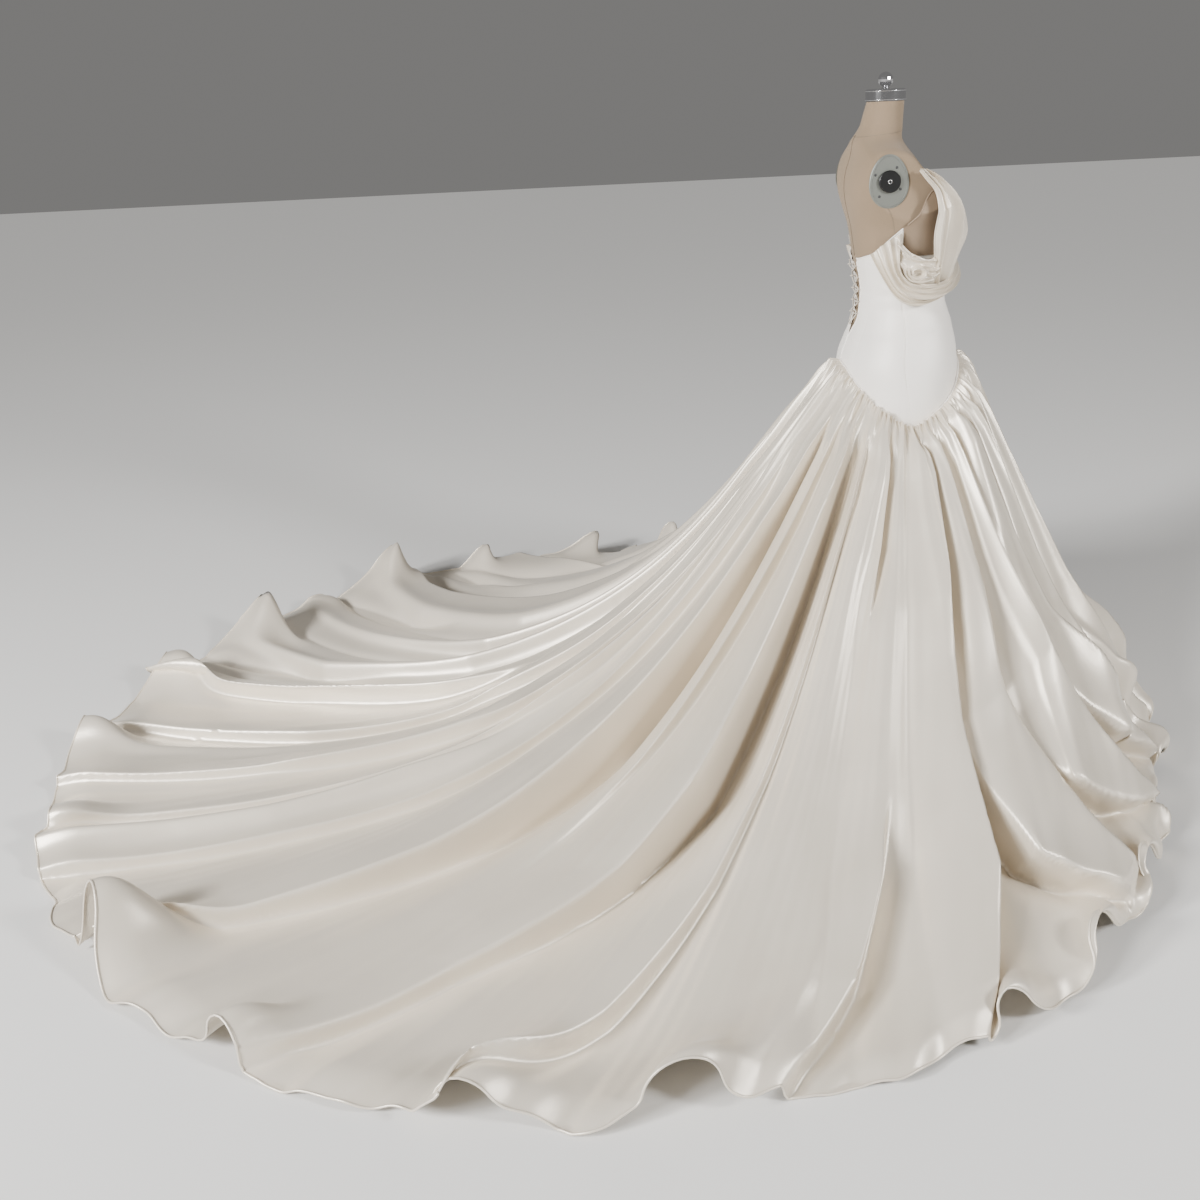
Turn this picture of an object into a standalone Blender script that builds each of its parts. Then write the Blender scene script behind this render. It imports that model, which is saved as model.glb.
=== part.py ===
"""Wedding dress on a limbless dress form: torso on a stand, fitted bodice, bust drape, long gored train.

Metres, +Z up. The origin is on the floor under the middle of the stand's base. The front faces -Y,
the train runs toward +Y. Angles around the body are in degrees from the front toward -X.
"""

import bpy
import numpy as np

for old in list(bpy.data.objects):
    bpy.data.objects.remove(old, do_unlink=True)

# --- materials -------------------------------------------------------------------------------


def material(name, colour, roughness, metallic=0.0):
    made = bpy.data.materials.new(name)
    made.use_nodes = True
    shader = made.node_tree.nodes["Principled BSDF"]
    shader.inputs["Base Color"].default_value = (*colour, 1)
    shader.inputs["Roughness"].default_value = roughness
    shader.inputs["Metallic"].default_value = metallic
    return made


SATIN = material("satin", (0.80, 0.77, 0.72), 0.35)
BODICE_SATIN = material("bodice_satin", (0.86, 0.84, 0.80), 0.40)
CORD = material("cord", (0.83, 0.80, 0.75), 0.60)
LINEN = material("linen", (0.70, 0.62, 0.50), 0.85)
CHROME = material("chrome", (0.80, 0.80, 0.82), 0.10, 1.0)
PLATE = material("plate", (0.38, 0.44, 0.40), 0.45, 0.6)
DISC = material("disc", (0.03, 0.03, 0.03), 0.40)
STAND = material("stand", (0.12, 0.12, 0.12), 0.45, 0.3)

WALL = 0.002  # cloth body
GAP = 0.0004  # kept free between neighbouring bodies

# --- mesh helpers ----------------------------------------------------------------------------


def add_mesh(name, points, faces, mat):
    mesh = bpy.data.meshes.new(name)
    mesh.from_pydata([tuple(p) for p in points], [], [tuple(f) for f in faces])
    mesh.validate()
    mesh.materials.append(mat)
    for polygon in mesh.polygons:
        polygon.use_smooth = True
    made = bpy.data.objects.new(name, mesh)
    bpy.context.scene.collection.objects.link(made)
    return made


def outward(points, faces):
    """The faces of a closed body, turned round if they face in."""
    middle = points.mean(axis=0)
    volume = 0
    for face in faces:
        for second, third in zip(face[1:], face[2:]):
            volume += np.linalg.det(points[[face[0], second, third]] - middle)
    return faces if volume > 0 else [tuple(reversed(face)) for face in faces]


def sheet_body(name, outer, inner, mat):
    """One closed body between two grids of the same shape, with its four rims."""
    rows, cols = outer.shape[:2]
    points = np.concatenate([outer.reshape(-1, 3), inner.reshape(-1, 3)])
    second = rows * cols
    faces = []
    for r in range(rows - 1):
        for c in range(cols - 1):
            a, b = r * cols + c, r * cols + c + 1
            d, e = a + cols, b + cols
            faces.append((a, b, e, d))
            faces.append((second + a, second + d, second + e, second + b))
    rim = list(range(cols))
    rim += [r * cols + cols - 1 for r in range(1, rows)]
    rim += [(rows - 1) * cols + c for c in range(cols - 2, -1, -1)]
    rim += [r * cols for r in range(rows - 2, 0, -1)]
    for a, b in zip(rim, rim[1:] + rim[:1]):
        faces.append((b, a, second + a, second + b))
    return add_mesh(name, points, outward(points, faces), mat)


def ring_body(name, rings, mat):
    """A solid from a stack of closed rings, each the same number of points, capped at both ends."""
    rings = np.array(rings)
    count, around = rings.shape[:2]
    points = rings.reshape(-1, 3)
    last = (count - 1) * around
    faces = [tuple(range(around)), tuple(range(last + around - 1, last - 1, -1))]
    for r in range(count - 1):
        for c in range(around):
            n = (c + 1) % around
            low, high = r * around, (r + 1) * around
            faces.append((low + n, low + c, high + c, high + n))
    return add_mesh(name, points, outward(points, faces), mat)


def turned(name, centre, axis, profile, mat, around=32, squash=1.0, egg=0.0):
    """A round solid turned about an axis: the profile lists (distance along the axis, radius)."""
    axis = np.array(axis, float)
    across = np.cross(axis, (0, 0, 1)) if abs(axis[2]) < 0.9 else np.array((1.0, 0, 0))
    upward = np.cross(across, axis)
    turn = np.radians(np.arange(around) * 360 / around)
    rings = []
    for along, radius in profile:
        narrow = 1 - egg * np.sin(turn)
        ring = np.outer(np.cos(turn) * narrow, across) + np.outer(np.sin(turn) * squash, upward)
        rings.append(np.array(centre) + axis * along + ring * radius)
    return ring_body(name, rings, mat)


def cord(name, points, diameter, mat, closed=False, fineness=2):
    curve = bpy.data.curves.new(name, "CURVE")
    curve.dimensions = "3D"
    curve.bevel_depth = diameter / 2
    curve.bevel_resolution = fineness
    curve.use_fill_caps = not closed
    line = curve.splines.new("POLY")
    line.points.add(len(points) - 1)
    for slot, point in zip(line.points, points):
        slot.co = (*point, 1)
    line.use_cyclic_u = closed
    curve.materials.append(mat)
    made = bpy.data.objects.new(name, curve)
    bpy.context.scene.collection.objects.link(made)
    return made


def smooth_path(knots, count):
    """Evenly spaced points on a smooth curve through the knots."""
    knots = np.array(knots, float)
    padded = np.vstack([2 * knots[0] - knots[1], knots, 2 * knots[-1] - knots[-2]])
    fine = []
    for i in range(len(knots) - 1):
        a, b, c, d = padded[i : i + 4]
        for t in np.linspace(0, 1, 24, endpoint=False):
            fine.append(
                0.5 * ((2 * b) + (c - a) * t + (2 * a - 5 * b + 4 * c - d) * t**2
                       + (3 * b - a - 3 * c + d) * t**3)
            )
    fine = np.array(fine + [knots[-1]])
    along = np.r_[0, np.cumsum(np.linalg.norm(np.diff(fine, axis=0), axis=1))]
    even = np.linspace(0, along[-1], count)
    return np.stack([np.interp(even, along, fine[:, k]) for k in range(3)], axis=1)


# --- the form's surface ----------------------------------------------------------------------

# height, middle (y), half depth, half width, squareness of the section
FORM = np.array([
    (0.700, -0.0360, 0.1200, 0.1500, 2.10),
    (0.800, -0.0360, 0.1360, 0.1720, 2.10),
    (0.880, -0.0360, 0.1385, 0.1750, 2.10),
    (0.948, -0.0365, 0.1355, 0.1690, 2.10),
    (1.000, -0.0420, 0.1230, 0.1530, 2.10),
    (1.040, -0.0450, 0.1110, 0.1330, 2.10),
    (1.085, -0.0420, 0.1010, 0.1190, 2.10),
    (1.130, -0.0420, 0.1015, 0.1200, 2.10),
    (1.180, -0.0400, 0.1090, 0.1280, 2.10),
    (1.230, -0.0400, 0.1160, 0.1370, 2.10),
    (1.270, -0.0385, 0.1210, 0.1460, 2.15),
    (1.310, -0.0300, 0.1220, 0.1650, 2.30),
    (1.346, -0.0150, 0.1130, 0.1850, 2.40),
    (1.377, 0.0000, 0.0980, 0.1900, 2.40),
    (1.403, 0.0120, 0.0810, 0.1880, 2.40),
    (1.433, 0.0180, 0.0660, 0.1650, 2.30),
    (1.450, 0.0200, 0.0610, 0.1250, 2.20),
    (1.467, 0.0210, 0.0575, 0.0820, 2.10),
    (1.496, 0.0110, 0.0500, 0.0560, 2.05),
    (1.528, 0.0050, 0.0465, 0.0480, 2.00),
    (1.556, 0.0000, 0.0430, 0.0465, 2.00),
])
ARM_PLANE = 0.143


def section(height):
    """Middle, half depth, half width and squareness at a height, on smooth curves."""
    at = np.clip(height, FORM[0, 0], FORM[-1, 0])
    slope = np.gradient(FORM[:, 1:], FORM[:, 0], axis=0)
    index = np.clip(np.searchsorted(FORM[:, 0], at) - 1, 0, len(FORM) - 2)
    step = FORM[index + 1, 0] - FORM[index, 0]
    t = (at - FORM[index, 0]) / step
    found = []
    for k in range(4):
        low, high = FORM[index, k + 1], FORM[index + 1, k + 1]
        rise = high - low
        found.append(
            low + rise * (3 * t**2 - 2 * t**3)
            + step * (slope[index, k] * (t - 2 * t**2 + t**3) + slope[index + 1, k] * (t**3 - t**2))
        )
    return found


def form_point(angle, height, off=0.0):
    """A point on the form, or that far outside it, at an angle and a height."""
    angle, height, off = np.broadcast_arrays(
        np.asarray(angle, float), np.asarray(height, float), np.asarray(off, float)
    )
    middle, depth, width, power = section(height)
    side, back = -np.sin(np.radians(angle)), -np.cos(np.radians(angle))
    radius = ((np.abs(side) / width) ** power + (np.abs(back) / depth) ** power) ** (-1 / power)
    from_front = np.abs((angle + 180) % 360 - 180)
    radius += 0.016 * np.exp(-(((from_front - 33) / 19) ** 2) - ((height - 1.25) / 0.045) ** 2)
    radius += off
    flat = ARM_PLANE + np.maximum(0, 1.30 - height) + off
    return np.stack([np.clip(radius * side, -flat, flat), middle + radius * back, height], axis=-1)


AROUND = 40
ring_angles = np.arange(AROUND) * 360 / AROUND
torso_heights = np.r_[0.70, np.linspace(0.78, 1.30, 24), np.linspace(1.315, 1.48, 11), 1.505, 1.5557]
ring_body("form_torso", [form_point(ring_angles, h) for h in torso_heights], LINEN)
turned("form_neck_cap", (0, 0, 1.556), (0, 0, 1),
       [(0, 0.0470), (0.0245, 0.0470), (0.0275, 0.0455), (0.0285, 0.0430)], CHROME, 48)

KNOB_RADIUS = 0.018
KNOB_MIDDLE = 0.020  # height of the ball's middle over the neck cap
knob = [(0.0, 0.0110), (0.003, 0.0085)]  # the foot and the neck under the ball
for turn in np.radians(np.arange(24, 180, 17)):
    knob.append((KNOB_MIDDLE - KNOB_RADIUS * np.cos(turn), KNOB_RADIUS * np.sin(turn)))
knob.append((KNOB_MIDDLE + KNOB_RADIUS, 0.0012))
turned("form_knob", (0, 0, 1.5849), (0, 0, 1), knob, CHROME, 20)

PLATE_AT = (0.033, 1.379)  # y and z of the middle of the arm plates
PLATE_THICK = 0.0035
for side, name in ((-1, "right"), (1, "left")):
    face = side * (ARM_PLANE + GAP)
    turned("form_arm_plate_" + name, (face, *PLATE_AT), (side, 0, 0),
           [(0, 0.0465), (0.0025, 0.0465), (PLATE_THICK, 0.0450)], PLATE, 48, 1.32, 0.10)
    turned("form_arm_disc_" + name, (face + side * (PLATE_THICK + GAP), *PLATE_AT), (side, 0, 0),
           [(0, 0.0255), (0.0050, 0.0255), (0.0065, 0.0240)], DISC, 40)
turned("form_base", (0, 0, 0), (0, 0, 1),
       [(0, 0.190), (0.010, 0.190), (0.016, 0.180), (0.020, 0.050), (0.045, 0.022)], STAND, 64)
turned("form_pole", (0, 0, 0.0454), (0, 0, 1), [(0, 0.0125), (0.6540, 0.0125)], STAND, 24)

# --- bodice ----------------------------------------------------------------------------------

# angle from the front, height of the bodice's top edge
TOP_EDGE = np.array([(0, 1.212), (20, 1.235), (38, 1.330), (55, 1.366), (75, 1.354), (90, 1.300),
                     (109, 1.260), (127, 1.221), (138, 1.205), (160, 1.192), (180, 1.188)])
CUP_FROM = 1.205
SEAM_SIDE = 104.0
FIT = 0.0018  # the bodice's inner face off the form
SEAM_GAP = 0.7  # degrees between the front and back panels


def basque(angle):
    """Height of the bodice's lower edge: high in front and behind, pointed at each side."""
    facing = np.cos(np.radians(angle))
    rise = np.where(facing > 0, 0.145 * np.abs(facing) ** 1.25, 0.140 * np.abs(facing) ** 1.6)
    return 0.800 + rise


def top_edge(angle):
    from_front = np.abs((np.asarray(angle) + 180) % 360 - 180)
    return np.interp(from_front, TOP_EDGE[:, 0], TOP_EDGE[:, 1])


def gap_half(height):
    """Half the laced gap, in degrees, at a height: it closes below the knot."""
    return np.interp(height, (0.995, 1.045, 1.19), (0.25, 9.5, 11.0))


def fitted(name, angles, low, high, rows, off):
    """A wall that follows the form between two edges; angles is one row or a rows x columns grid."""
    t = np.linspace(0, 1, rows)[:, None]
    angles = np.broadcast_to(angles, (rows, np.shape(angles)[-1]))
    heights = low * (1 - t) + high * t
    outer, inner = form_point(angles, heights, off + WALL), form_point(angles, heights, off)
    sheet_body(name, outer, inner, BODICE_SATIN)


SEAM_LIFT = 0.0015  # the bodice's edge over the skirt's
BACK_ROWS, BACK_COLS, CUP_COLS = 12, 12, 20
front = np.linspace(-SEAM_SIDE, SEAM_SIDE, 31)
fitted("bodice_front", front, basque(front) + SEAM_LIFT, np.minimum(top_edge(front), CUP_FROM), 11, FIT)
for side, name in ((1, "right"), (-1, "left")):
    t = np.linspace(0, 1, BACK_ROWS)[:, None]
    columns = np.linspace(0, 1, BACK_COLS)
    edge = 180 - gap_half(basque(180.0) * (1 - t) + top_edge(169.0) * t)
    back = (SEAM_SIDE + SEAM_GAP) * (1 - columns) + edge * columns
    fitted("bodice_back_" + name, side * back, basque(back) + SEAM_LIFT, top_edge(back), BACK_ROWS, FIT)
    cup = side * np.linspace(3.5, SEAM_SIDE, CUP_COLS)
    fitted("cup_" + name, cup, CUP_FROM + GAP, top_edge(cup), 9, 0.0040)

# --- bust drape ------------------------------------------------------------------------------

# Along each band, from its back end to centre front: angle, height and distance off the form at
# the upper edge, then at the fullest line, then at the lower edge.
BAND = [
    (109, 1.257, 0.0060, 122, 1.232, 0.0100, 136, 1.204, 0.0060),
    (108, 1.238, 0.0090, 117, 1.205, 0.0200, 127, 1.170, 0.0085),
    (106, 1.212, 0.0120, 110, 1.168, 0.0300, 115, 1.126, 0.0100),
    (101, 1.190, 0.0140, 101, 1.142, 0.0360, 103, 1.099, 0.0100),
    (92, 1.176, 0.0150, 90, 1.130, 0.0390, 91, 1.088, 0.0100),
    (77, 1.174, 0.0160, 75, 1.130, 0.0400, 75, 1.092, 0.0100),
    (60, 1.180, 0.0160, 58, 1.138, 0.0380, 58, 1.103, 0.0100),
    (42, 1.188, 0.0150, 41, 1.150, 0.0330, 41, 1.117, 0.0100),
    (25, 1.196, 0.0120, 24, 1.165, 0.0240, 24, 1.136, 0.0090),
    (11, 1.200, 0.0090, 10, 1.178, 0.0150, 10, 1.156, 0.0080),
    (3, 1.200, 0.0070, 3, 1.184, 0.0090, 3, 1.168, 0.0070),
]
# Down each lobe: angle, height and distance off the form at its outer edge, its middle, its front
# edge toward centre front.
LOBE = [
    (77, 1.404, 0.020, 74, 1.406, 0.028, 69, 1.403, 0.024),
    (78, 1.380, 0.022, 70, 1.392, 0.046, 58, 1.386, 0.022),
    (80, 1.340, 0.024, 67, 1.352, 0.058, 44, 1.350, 0.013),
    (82, 1.296, 0.026, 64, 1.305, 0.062, 33, 1.304, 0.009),
    (84, 1.252, 0.030, 63, 1.258, 0.058, 28, 1.262, 0.009),
    (83, 1.222, 0.034, 63, 1.222, 0.052, 29, 1.230, 0.014),
    (80, 1.196, 0.036, 62, 1.196, 0.047, 32, 1.208, 0.020),
]


DRAPE_COLS = 8


def through_three(rows, count):
    """Each row's three stations read as a smooth arc of count stations."""
    rows = np.array(rows).reshape(len(rows), 3, 3)
    t = np.linspace(0, 1, count)[None, :, None]
    first, fullest, last = rows[:, :1], rows[:, 1:2], rows[:, 2:]
    return first * (1 - t) * (1 - 2 * t) + fullest * 4 * t * (1 - t) + last * t * (2 * t - 1)


for side, name in ((1, "right"), (-1, "left")):
    for part, rows in (("band_", BAND), ("lobe_", LOBE)):
        arc = through_three(rows, DRAPE_COLS)
        outer = form_point(side * arc[..., 0], arc[..., 1], arc[..., 2] + WALL)
        inner = form_point(side * arc[..., 0], arc[..., 1], arc[..., 2])
        sheet_body(part + name, outer, inner, SATIN)

# --- back lacing -----------------------------------------------------------------------------

LOOP_HEIGHTS = (1.172, 1.143, 1.114, 1.085, 1.056)
LOOP_RADIUS, LOOP_CORD = 0.0048, 0.0022
LACE_CORD = 0.003
LACE_STEP = 0.004  # how far over and under a loop's middle a lace stands
CROSSING_DROP = 0.0145  # from a pair of loops down to the crossing below it
LACES = (("lace_a", 1, 0.0120), ("lace_b", -1, 0.0080))  # name, side it starts on, off the form


def loop_middle(side, height):
    edge = form_point(side * (180 - gap_half(height)), height, 0.0038)
    return edge + np.array((side * 0.0005, 0.0066, 0))


for number, height in enumerate(LOOP_HEIGHTS, 1):
    for side, name in ((1, "right"), (-1, "left")):
        turn = np.radians(np.arange(9) * 40)
        circle = LOOP_RADIUS * np.stack([np.cos(turn), np.sin(turn), 0 * turn], axis=1)
        cord(f"loop_{name}_{number}", loop_middle(side, height) + circle, LOOP_CORD, CORD, closed=True)

KNOT = form_point(180, 1.030, 0.0120)
for name, side, off in LACES:
    knots = [loop_middle(side, LOOP_HEIGHTS[0]) + np.array((side * 0.004, 0.002, 0.012))]
    for height in LOOP_HEIGHTS:
        middle = loop_middle(side, height)
        knots.append(middle + np.array((0, 0, LACE_STEP)))
        knots.append(middle + np.array((side * 0.0012, 0, 0)))
        knots.append(middle + np.array((0, 0, -LACE_STEP)))
        if height != LOOP_HEIGHTS[-1]:
            knots.append(form_point(180, height - CROSSING_DROP, off))
        side = -side
    knots.append(KNOT + np.array((side * 0.0062, 0, 0.0035)))
    cord(name, smooth_path(knots, 54), LACE_CORD, CORD)
turned("lace_knot", KNOT - np.array((0, 0, 0.0045)), (0, 0, 1),
       [(0, 0.0012), (0.001, 0.0030), (0.003, 0.0040), (0.005, 0.0038), (0.0065, 0.0012)], CORD, 16)

# --- skirt and train -------------------------------------------------------------------------

# angle, distance of the hem from the stand, how fast the skirt falls away from the hips
HEM = np.array([
    (0, 0.60, 1.10), (15, 0.61, 1.10), (30, 0.65, 1.12), (45, 0.68, 1.13), (58, 0.75, 1.15),
    (67, 0.87, 1.20), (79, 0.99, 1.27), (87, 1.12, 1.33), (99, 1.27, 1.48), (112, 1.42, 1.68),
    (122, 1.58, 1.87), (132, 1.73, 2.20), (141, 1.84, 2.50), (151, 1.95, 2.83), (166, 2.07, 3.23),
    (182, 2.10, 3.60), (191, 2.05, 3.60), (199, 1.96, 3.45), (211, 1.84, 3.00), (219, 1.76, 2.67),
    (237, 1.47, 2.01), (250, 1.30, 1.72), (270, 1.12, 1.35), (285, 0.95, 1.25), (300, 0.79, 1.15),
    (330, 0.66, 1.12), (360, 0.60, 1.10),
])
# Folds that run from the waist to the hem, ridges up and valleys down: angle at the waist, half
# way and at the hem; height half way and at the hem; half width half way and at the hem.
FOLDS = np.array([
    (8, 6, 8, 0.020, 0.020, 0.050, 0.060),
    (24, 22, 22, -0.030, -0.010, 0.040, 0.050),
    (44, 40, 38, -0.030, -0.030, 0.040, 0.050),
    (60, 56, 53, -0.030, -0.030, 0.035, 0.050),
    (76, 72, 68, -0.040, -0.030, 0.040, 0.060),
    (86, 88, 80, -0.035, -0.030, 0.035, 0.060),
    (95, 98, 91, -0.035, -0.035, 0.040, 0.070),
    (104, 104, 104, -0.030, 0.000, 0.070, 0.080),
    (112, 110, 113, -0.010, -0.020, 0.040, 0.060),
    (124, 123, 129, -0.015, -0.015, 0.040, 0.060),
    (133, 131.5, 141, -0.040, -0.010, 0.050, 0.060),
    (150, 150, 155, -0.035, -0.010, 0.050, 0.070),
    (158, 161, 166, -0.015, -0.010, 0.050, 0.070),
    (162, 165, 169, 0.020, 0.015, 0.050, 0.070),
    (174, 175, 181, 0.010, 0.020, 0.060, 0.080),
    (186, 189, 200, 0.045, 0.030, 0.055, 0.070),
    (194, 197, 210, -0.020, -0.005, 0.050, 0.070),
    (201, 204, 219, 0.035, 0.030, 0.055, 0.080),
    (214, 216, 228, -0.030, -0.010, 0.060, 0.080),
    (226, 229, 238, 0.025, 0.020, 0.060, 0.080),
    (241, 243, 247, -0.035, -0.010, 0.060, 0.080),
    (256, 257, 258, 0.020, 0.020, 0.060, 0.080),
    (270, 270, 272, -0.040, -0.030, 0.050, 0.070),
    (285, 286, 288, -0.035, -0.030, 0.045, 0.060),
    (301, 303, 306, -0.030, -0.030, 0.040, 0.060),
    (318, 320, 322, -0.030, -0.030, 0.040, 0.050),
    (337, 338, 338, -0.030, -0.010, 0.040, 0.050),
])
# Arches along the hem: angle, height, half width, and the share of the skirt they run back over.
ARCHES = np.array([
    (22, 0.040, 0.040, 0.10), (40, 0.050, 0.040, 0.12), (55, 0.060, 0.045, 0.14),
    (71, 0.070, 0.050, 0.14), (85, 0.070, 0.060, 0.14), (97, 0.055, 0.050, 0.08),
    (117, 0.070, 0.080, 0.10), (127.5, 0.060, 0.050, 0.07), (144, 0.045, 0.050, 0.05),
    (158, 0.085, 0.060, 0.08), (172, 0.050, 0.060, 0.05), (181, 0.060, 0.050, 0.06),
    (191, 0.070, 0.050, 0.08), (201, 0.080, 0.050, 0.08), (216, 0.110, 0.080, 0.09),
    (226, 0.060, 0.050, 0.06), (239, 0.080, 0.060, 0.08), (252, 0.050, 0.050, 0.08),
    (268, 0.060, 0.060, 0.10), (286, 0.060, 0.050, 0.12), (303, 0.060, 0.045, 0.12),
    (322, 0.050, 0.040, 0.12), (341, 0.040, 0.040, 0.10),
])
FLOOR = 0.0035
COLUMN_WIDTH = 0.082


def turned_from(angle, where):
    """Radians from one angle to another, the short way round."""
    return np.radians((angle - where + 180) % 360 - 180)


def skirt_base(angle, down):
    """The skirt without folds. down runs from 0 at the bodice to 1 at the hem."""
    turn = np.radians(angle)
    reach = np.interp(angle % 360, HEM[:, 0], HEM[:, 1])
    power = np.interp(angle % 360, HEM[:, 0], HEM[:, 2])
    start = form_point(angle, basque(angle) - 0.0012, 0.0038)
    end = np.stack([-np.sin(turn) * reach, -np.cos(turn) * reach, 0 * reach], axis=-1)
    point = start * (1 - down[..., None]) + end * down[..., None]
    point[..., 2] = FLOOR + (start[..., 2] - FLOOR) * (1 - down) ** power
    return point


def skirt_grid(angle, down):
    """The skirt with its folds, on a rows x columns grid."""
    point = skirt_base(angle, down)
    ahead = skirt_base(angle + 0.5, down) - skirt_base(angle - 0.5, down)
    below = skirt_base(angle, np.minimum(down + 0.01, 1)) - skirt_base(angle, np.maximum(down - 0.01, 0))
    normal = np.cross(below, ahead)
    normal /= np.linalg.norm(normal, axis=-1, keepdims=True)
    normal *= np.sign(normal[..., 2:] + 1e-9)
    radius = np.hypot(point[..., 0], point[..., 1])
    rise = 0.022 * (1 - np.exp(-down / 0.025)) * np.exp(-down / 0.30)  # gathers puff out at the seam
    for top, middle, hem, high_mid, high_hem, wide_mid, wide_hem in FOLDS:
        where = top + (middle - top) * np.minimum(down * 2, 1) + (hem - middle) * np.maximum(down * 2 - 1, 0)
        away = turned_from(angle, where) * radius
        blend = np.clip(down * 2 - 1, 0, 1)
        height = (high_mid * (1 - blend) + high_hem * blend) * np.minimum(1, down / 0.30)
        width = wide_mid * (1 - blend) + wide_hem * blend
        rise += height * np.exp(-((away / width) ** 2))
    for where, height, width, share in ARCHES:
        away = turned_from(angle, where) * radius
        grow = np.clip((down - 1 + 2.2 * share) / (2.2 * share), 0, 1) ** 2
        rise += height * grow * np.exp(-((away / width) ** 2))
    point += normal * rise[..., None]
    point[..., 2] = np.maximum(point[..., 2], FLOOR - 0.0005)
    return point


def skirt_frame(angle, down):
    """Points of the skirt with the outward normal and the direction around the body at each."""
    along = skirt_grid(angle + 0.6, down) - skirt_grid(angle - 0.6, down)
    below = skirt_grid(angle, np.minimum(down + 0.01, 1)) - skirt_grid(angle, np.maximum(down - 0.01, 0))
    normal = np.cross(below, along)
    normal /= np.linalg.norm(normal, axis=-1, keepdims=True)
    normal *= np.sign(normal[..., 2].mean())
    return skirt_grid(angle, down), normal, along / np.linalg.norm(along, axis=-1, keepdims=True)


GORE_EDGES = (-10, 34, 70, 92, 110, 132, 156, 182, 206, 232, 264, 306, 350)
DOWN_ROWS = (0, 0.02, 0.06, 0.13, 0.22, 0.33, 0.46, 0.60, 0.73, 0.84, 0.93, 1.0)
for number, (start, end) in enumerate(zip(GORE_EDGES, GORE_EDGES[1:]), 1):
    fine = np.linspace(start, end, 200)
    weight = np.interp(fine % 360, HEM[:, 0], HEM[:, 1]) + 0.35
    length = np.r_[0, np.cumsum((weight[1:] + weight[:-1]) / 2 * np.radians(np.diff(fine)))]
    columns = max(6, round(length[-1] / COLUMN_WIDTH))
    angles = np.interp(np.linspace(0, length[-1], columns + 1), length, fine)
    outer, normal, along = skirt_frame(*np.meshgrid(angles, DOWN_ROWS))
    outer[:, 0] += along[:, 0] * GAP
    outer[:, -1] -= along[:, -1] * GAP
    inner = outer - normal * WALL
    inner[..., 2] = np.maximum(inner[..., 2], 0.0005)
    outer[..., 2] = np.maximum(outer[..., 2], inner[..., 2] + WALL * 0.8)
    sheet_body(f"gore_{number:02d}", outer, inner, SATIN)
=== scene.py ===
"""The looks of the wedding dress on its dress form: satin skirt, bodice, bust drape, lacing and linen form.

Metres, +Z up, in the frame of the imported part. The front faces -Y and the train runs toward +Y. Angles
around the body are in degrees from the front toward -X, the wearer's right. The form, the bodice's top
edge, the loops, the hem and the gores start from the same tables as the part. The gathers, folds and
creases that only the picture needs are added here.
"""

import bpy
import numpy as np
from mathutils import Matrix, Vector


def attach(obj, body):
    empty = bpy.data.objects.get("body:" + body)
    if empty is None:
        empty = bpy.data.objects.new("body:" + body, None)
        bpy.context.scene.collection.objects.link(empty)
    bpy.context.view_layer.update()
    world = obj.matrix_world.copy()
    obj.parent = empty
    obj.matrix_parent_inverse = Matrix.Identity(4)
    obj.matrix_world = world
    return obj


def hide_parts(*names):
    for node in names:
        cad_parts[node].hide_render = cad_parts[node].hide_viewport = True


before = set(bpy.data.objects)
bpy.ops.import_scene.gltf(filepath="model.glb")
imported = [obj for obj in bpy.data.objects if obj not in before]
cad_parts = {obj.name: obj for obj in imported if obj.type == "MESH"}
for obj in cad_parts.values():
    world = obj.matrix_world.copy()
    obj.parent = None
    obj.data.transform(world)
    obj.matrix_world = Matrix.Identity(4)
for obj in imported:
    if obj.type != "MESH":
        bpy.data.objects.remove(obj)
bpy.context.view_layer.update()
rng = np.random.default_rng(7)
FINE = 1.0

# --- materials -------------------------------------------------------------------------------


def new_material(name):
    made = bpy.data.materials.new(name)
    made.use_nodes = True
    return made, made.node_tree.nodes


def set_up(node, values):
    """Set a node's sockets from a table of names and values."""
    for socket, value in values.items():
        node.inputs[socket].default_value = value
    return node


def wire(source, output, target, socket):
    target.id_data.links.new(source.outputs[output], target.inputs[socket])


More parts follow.
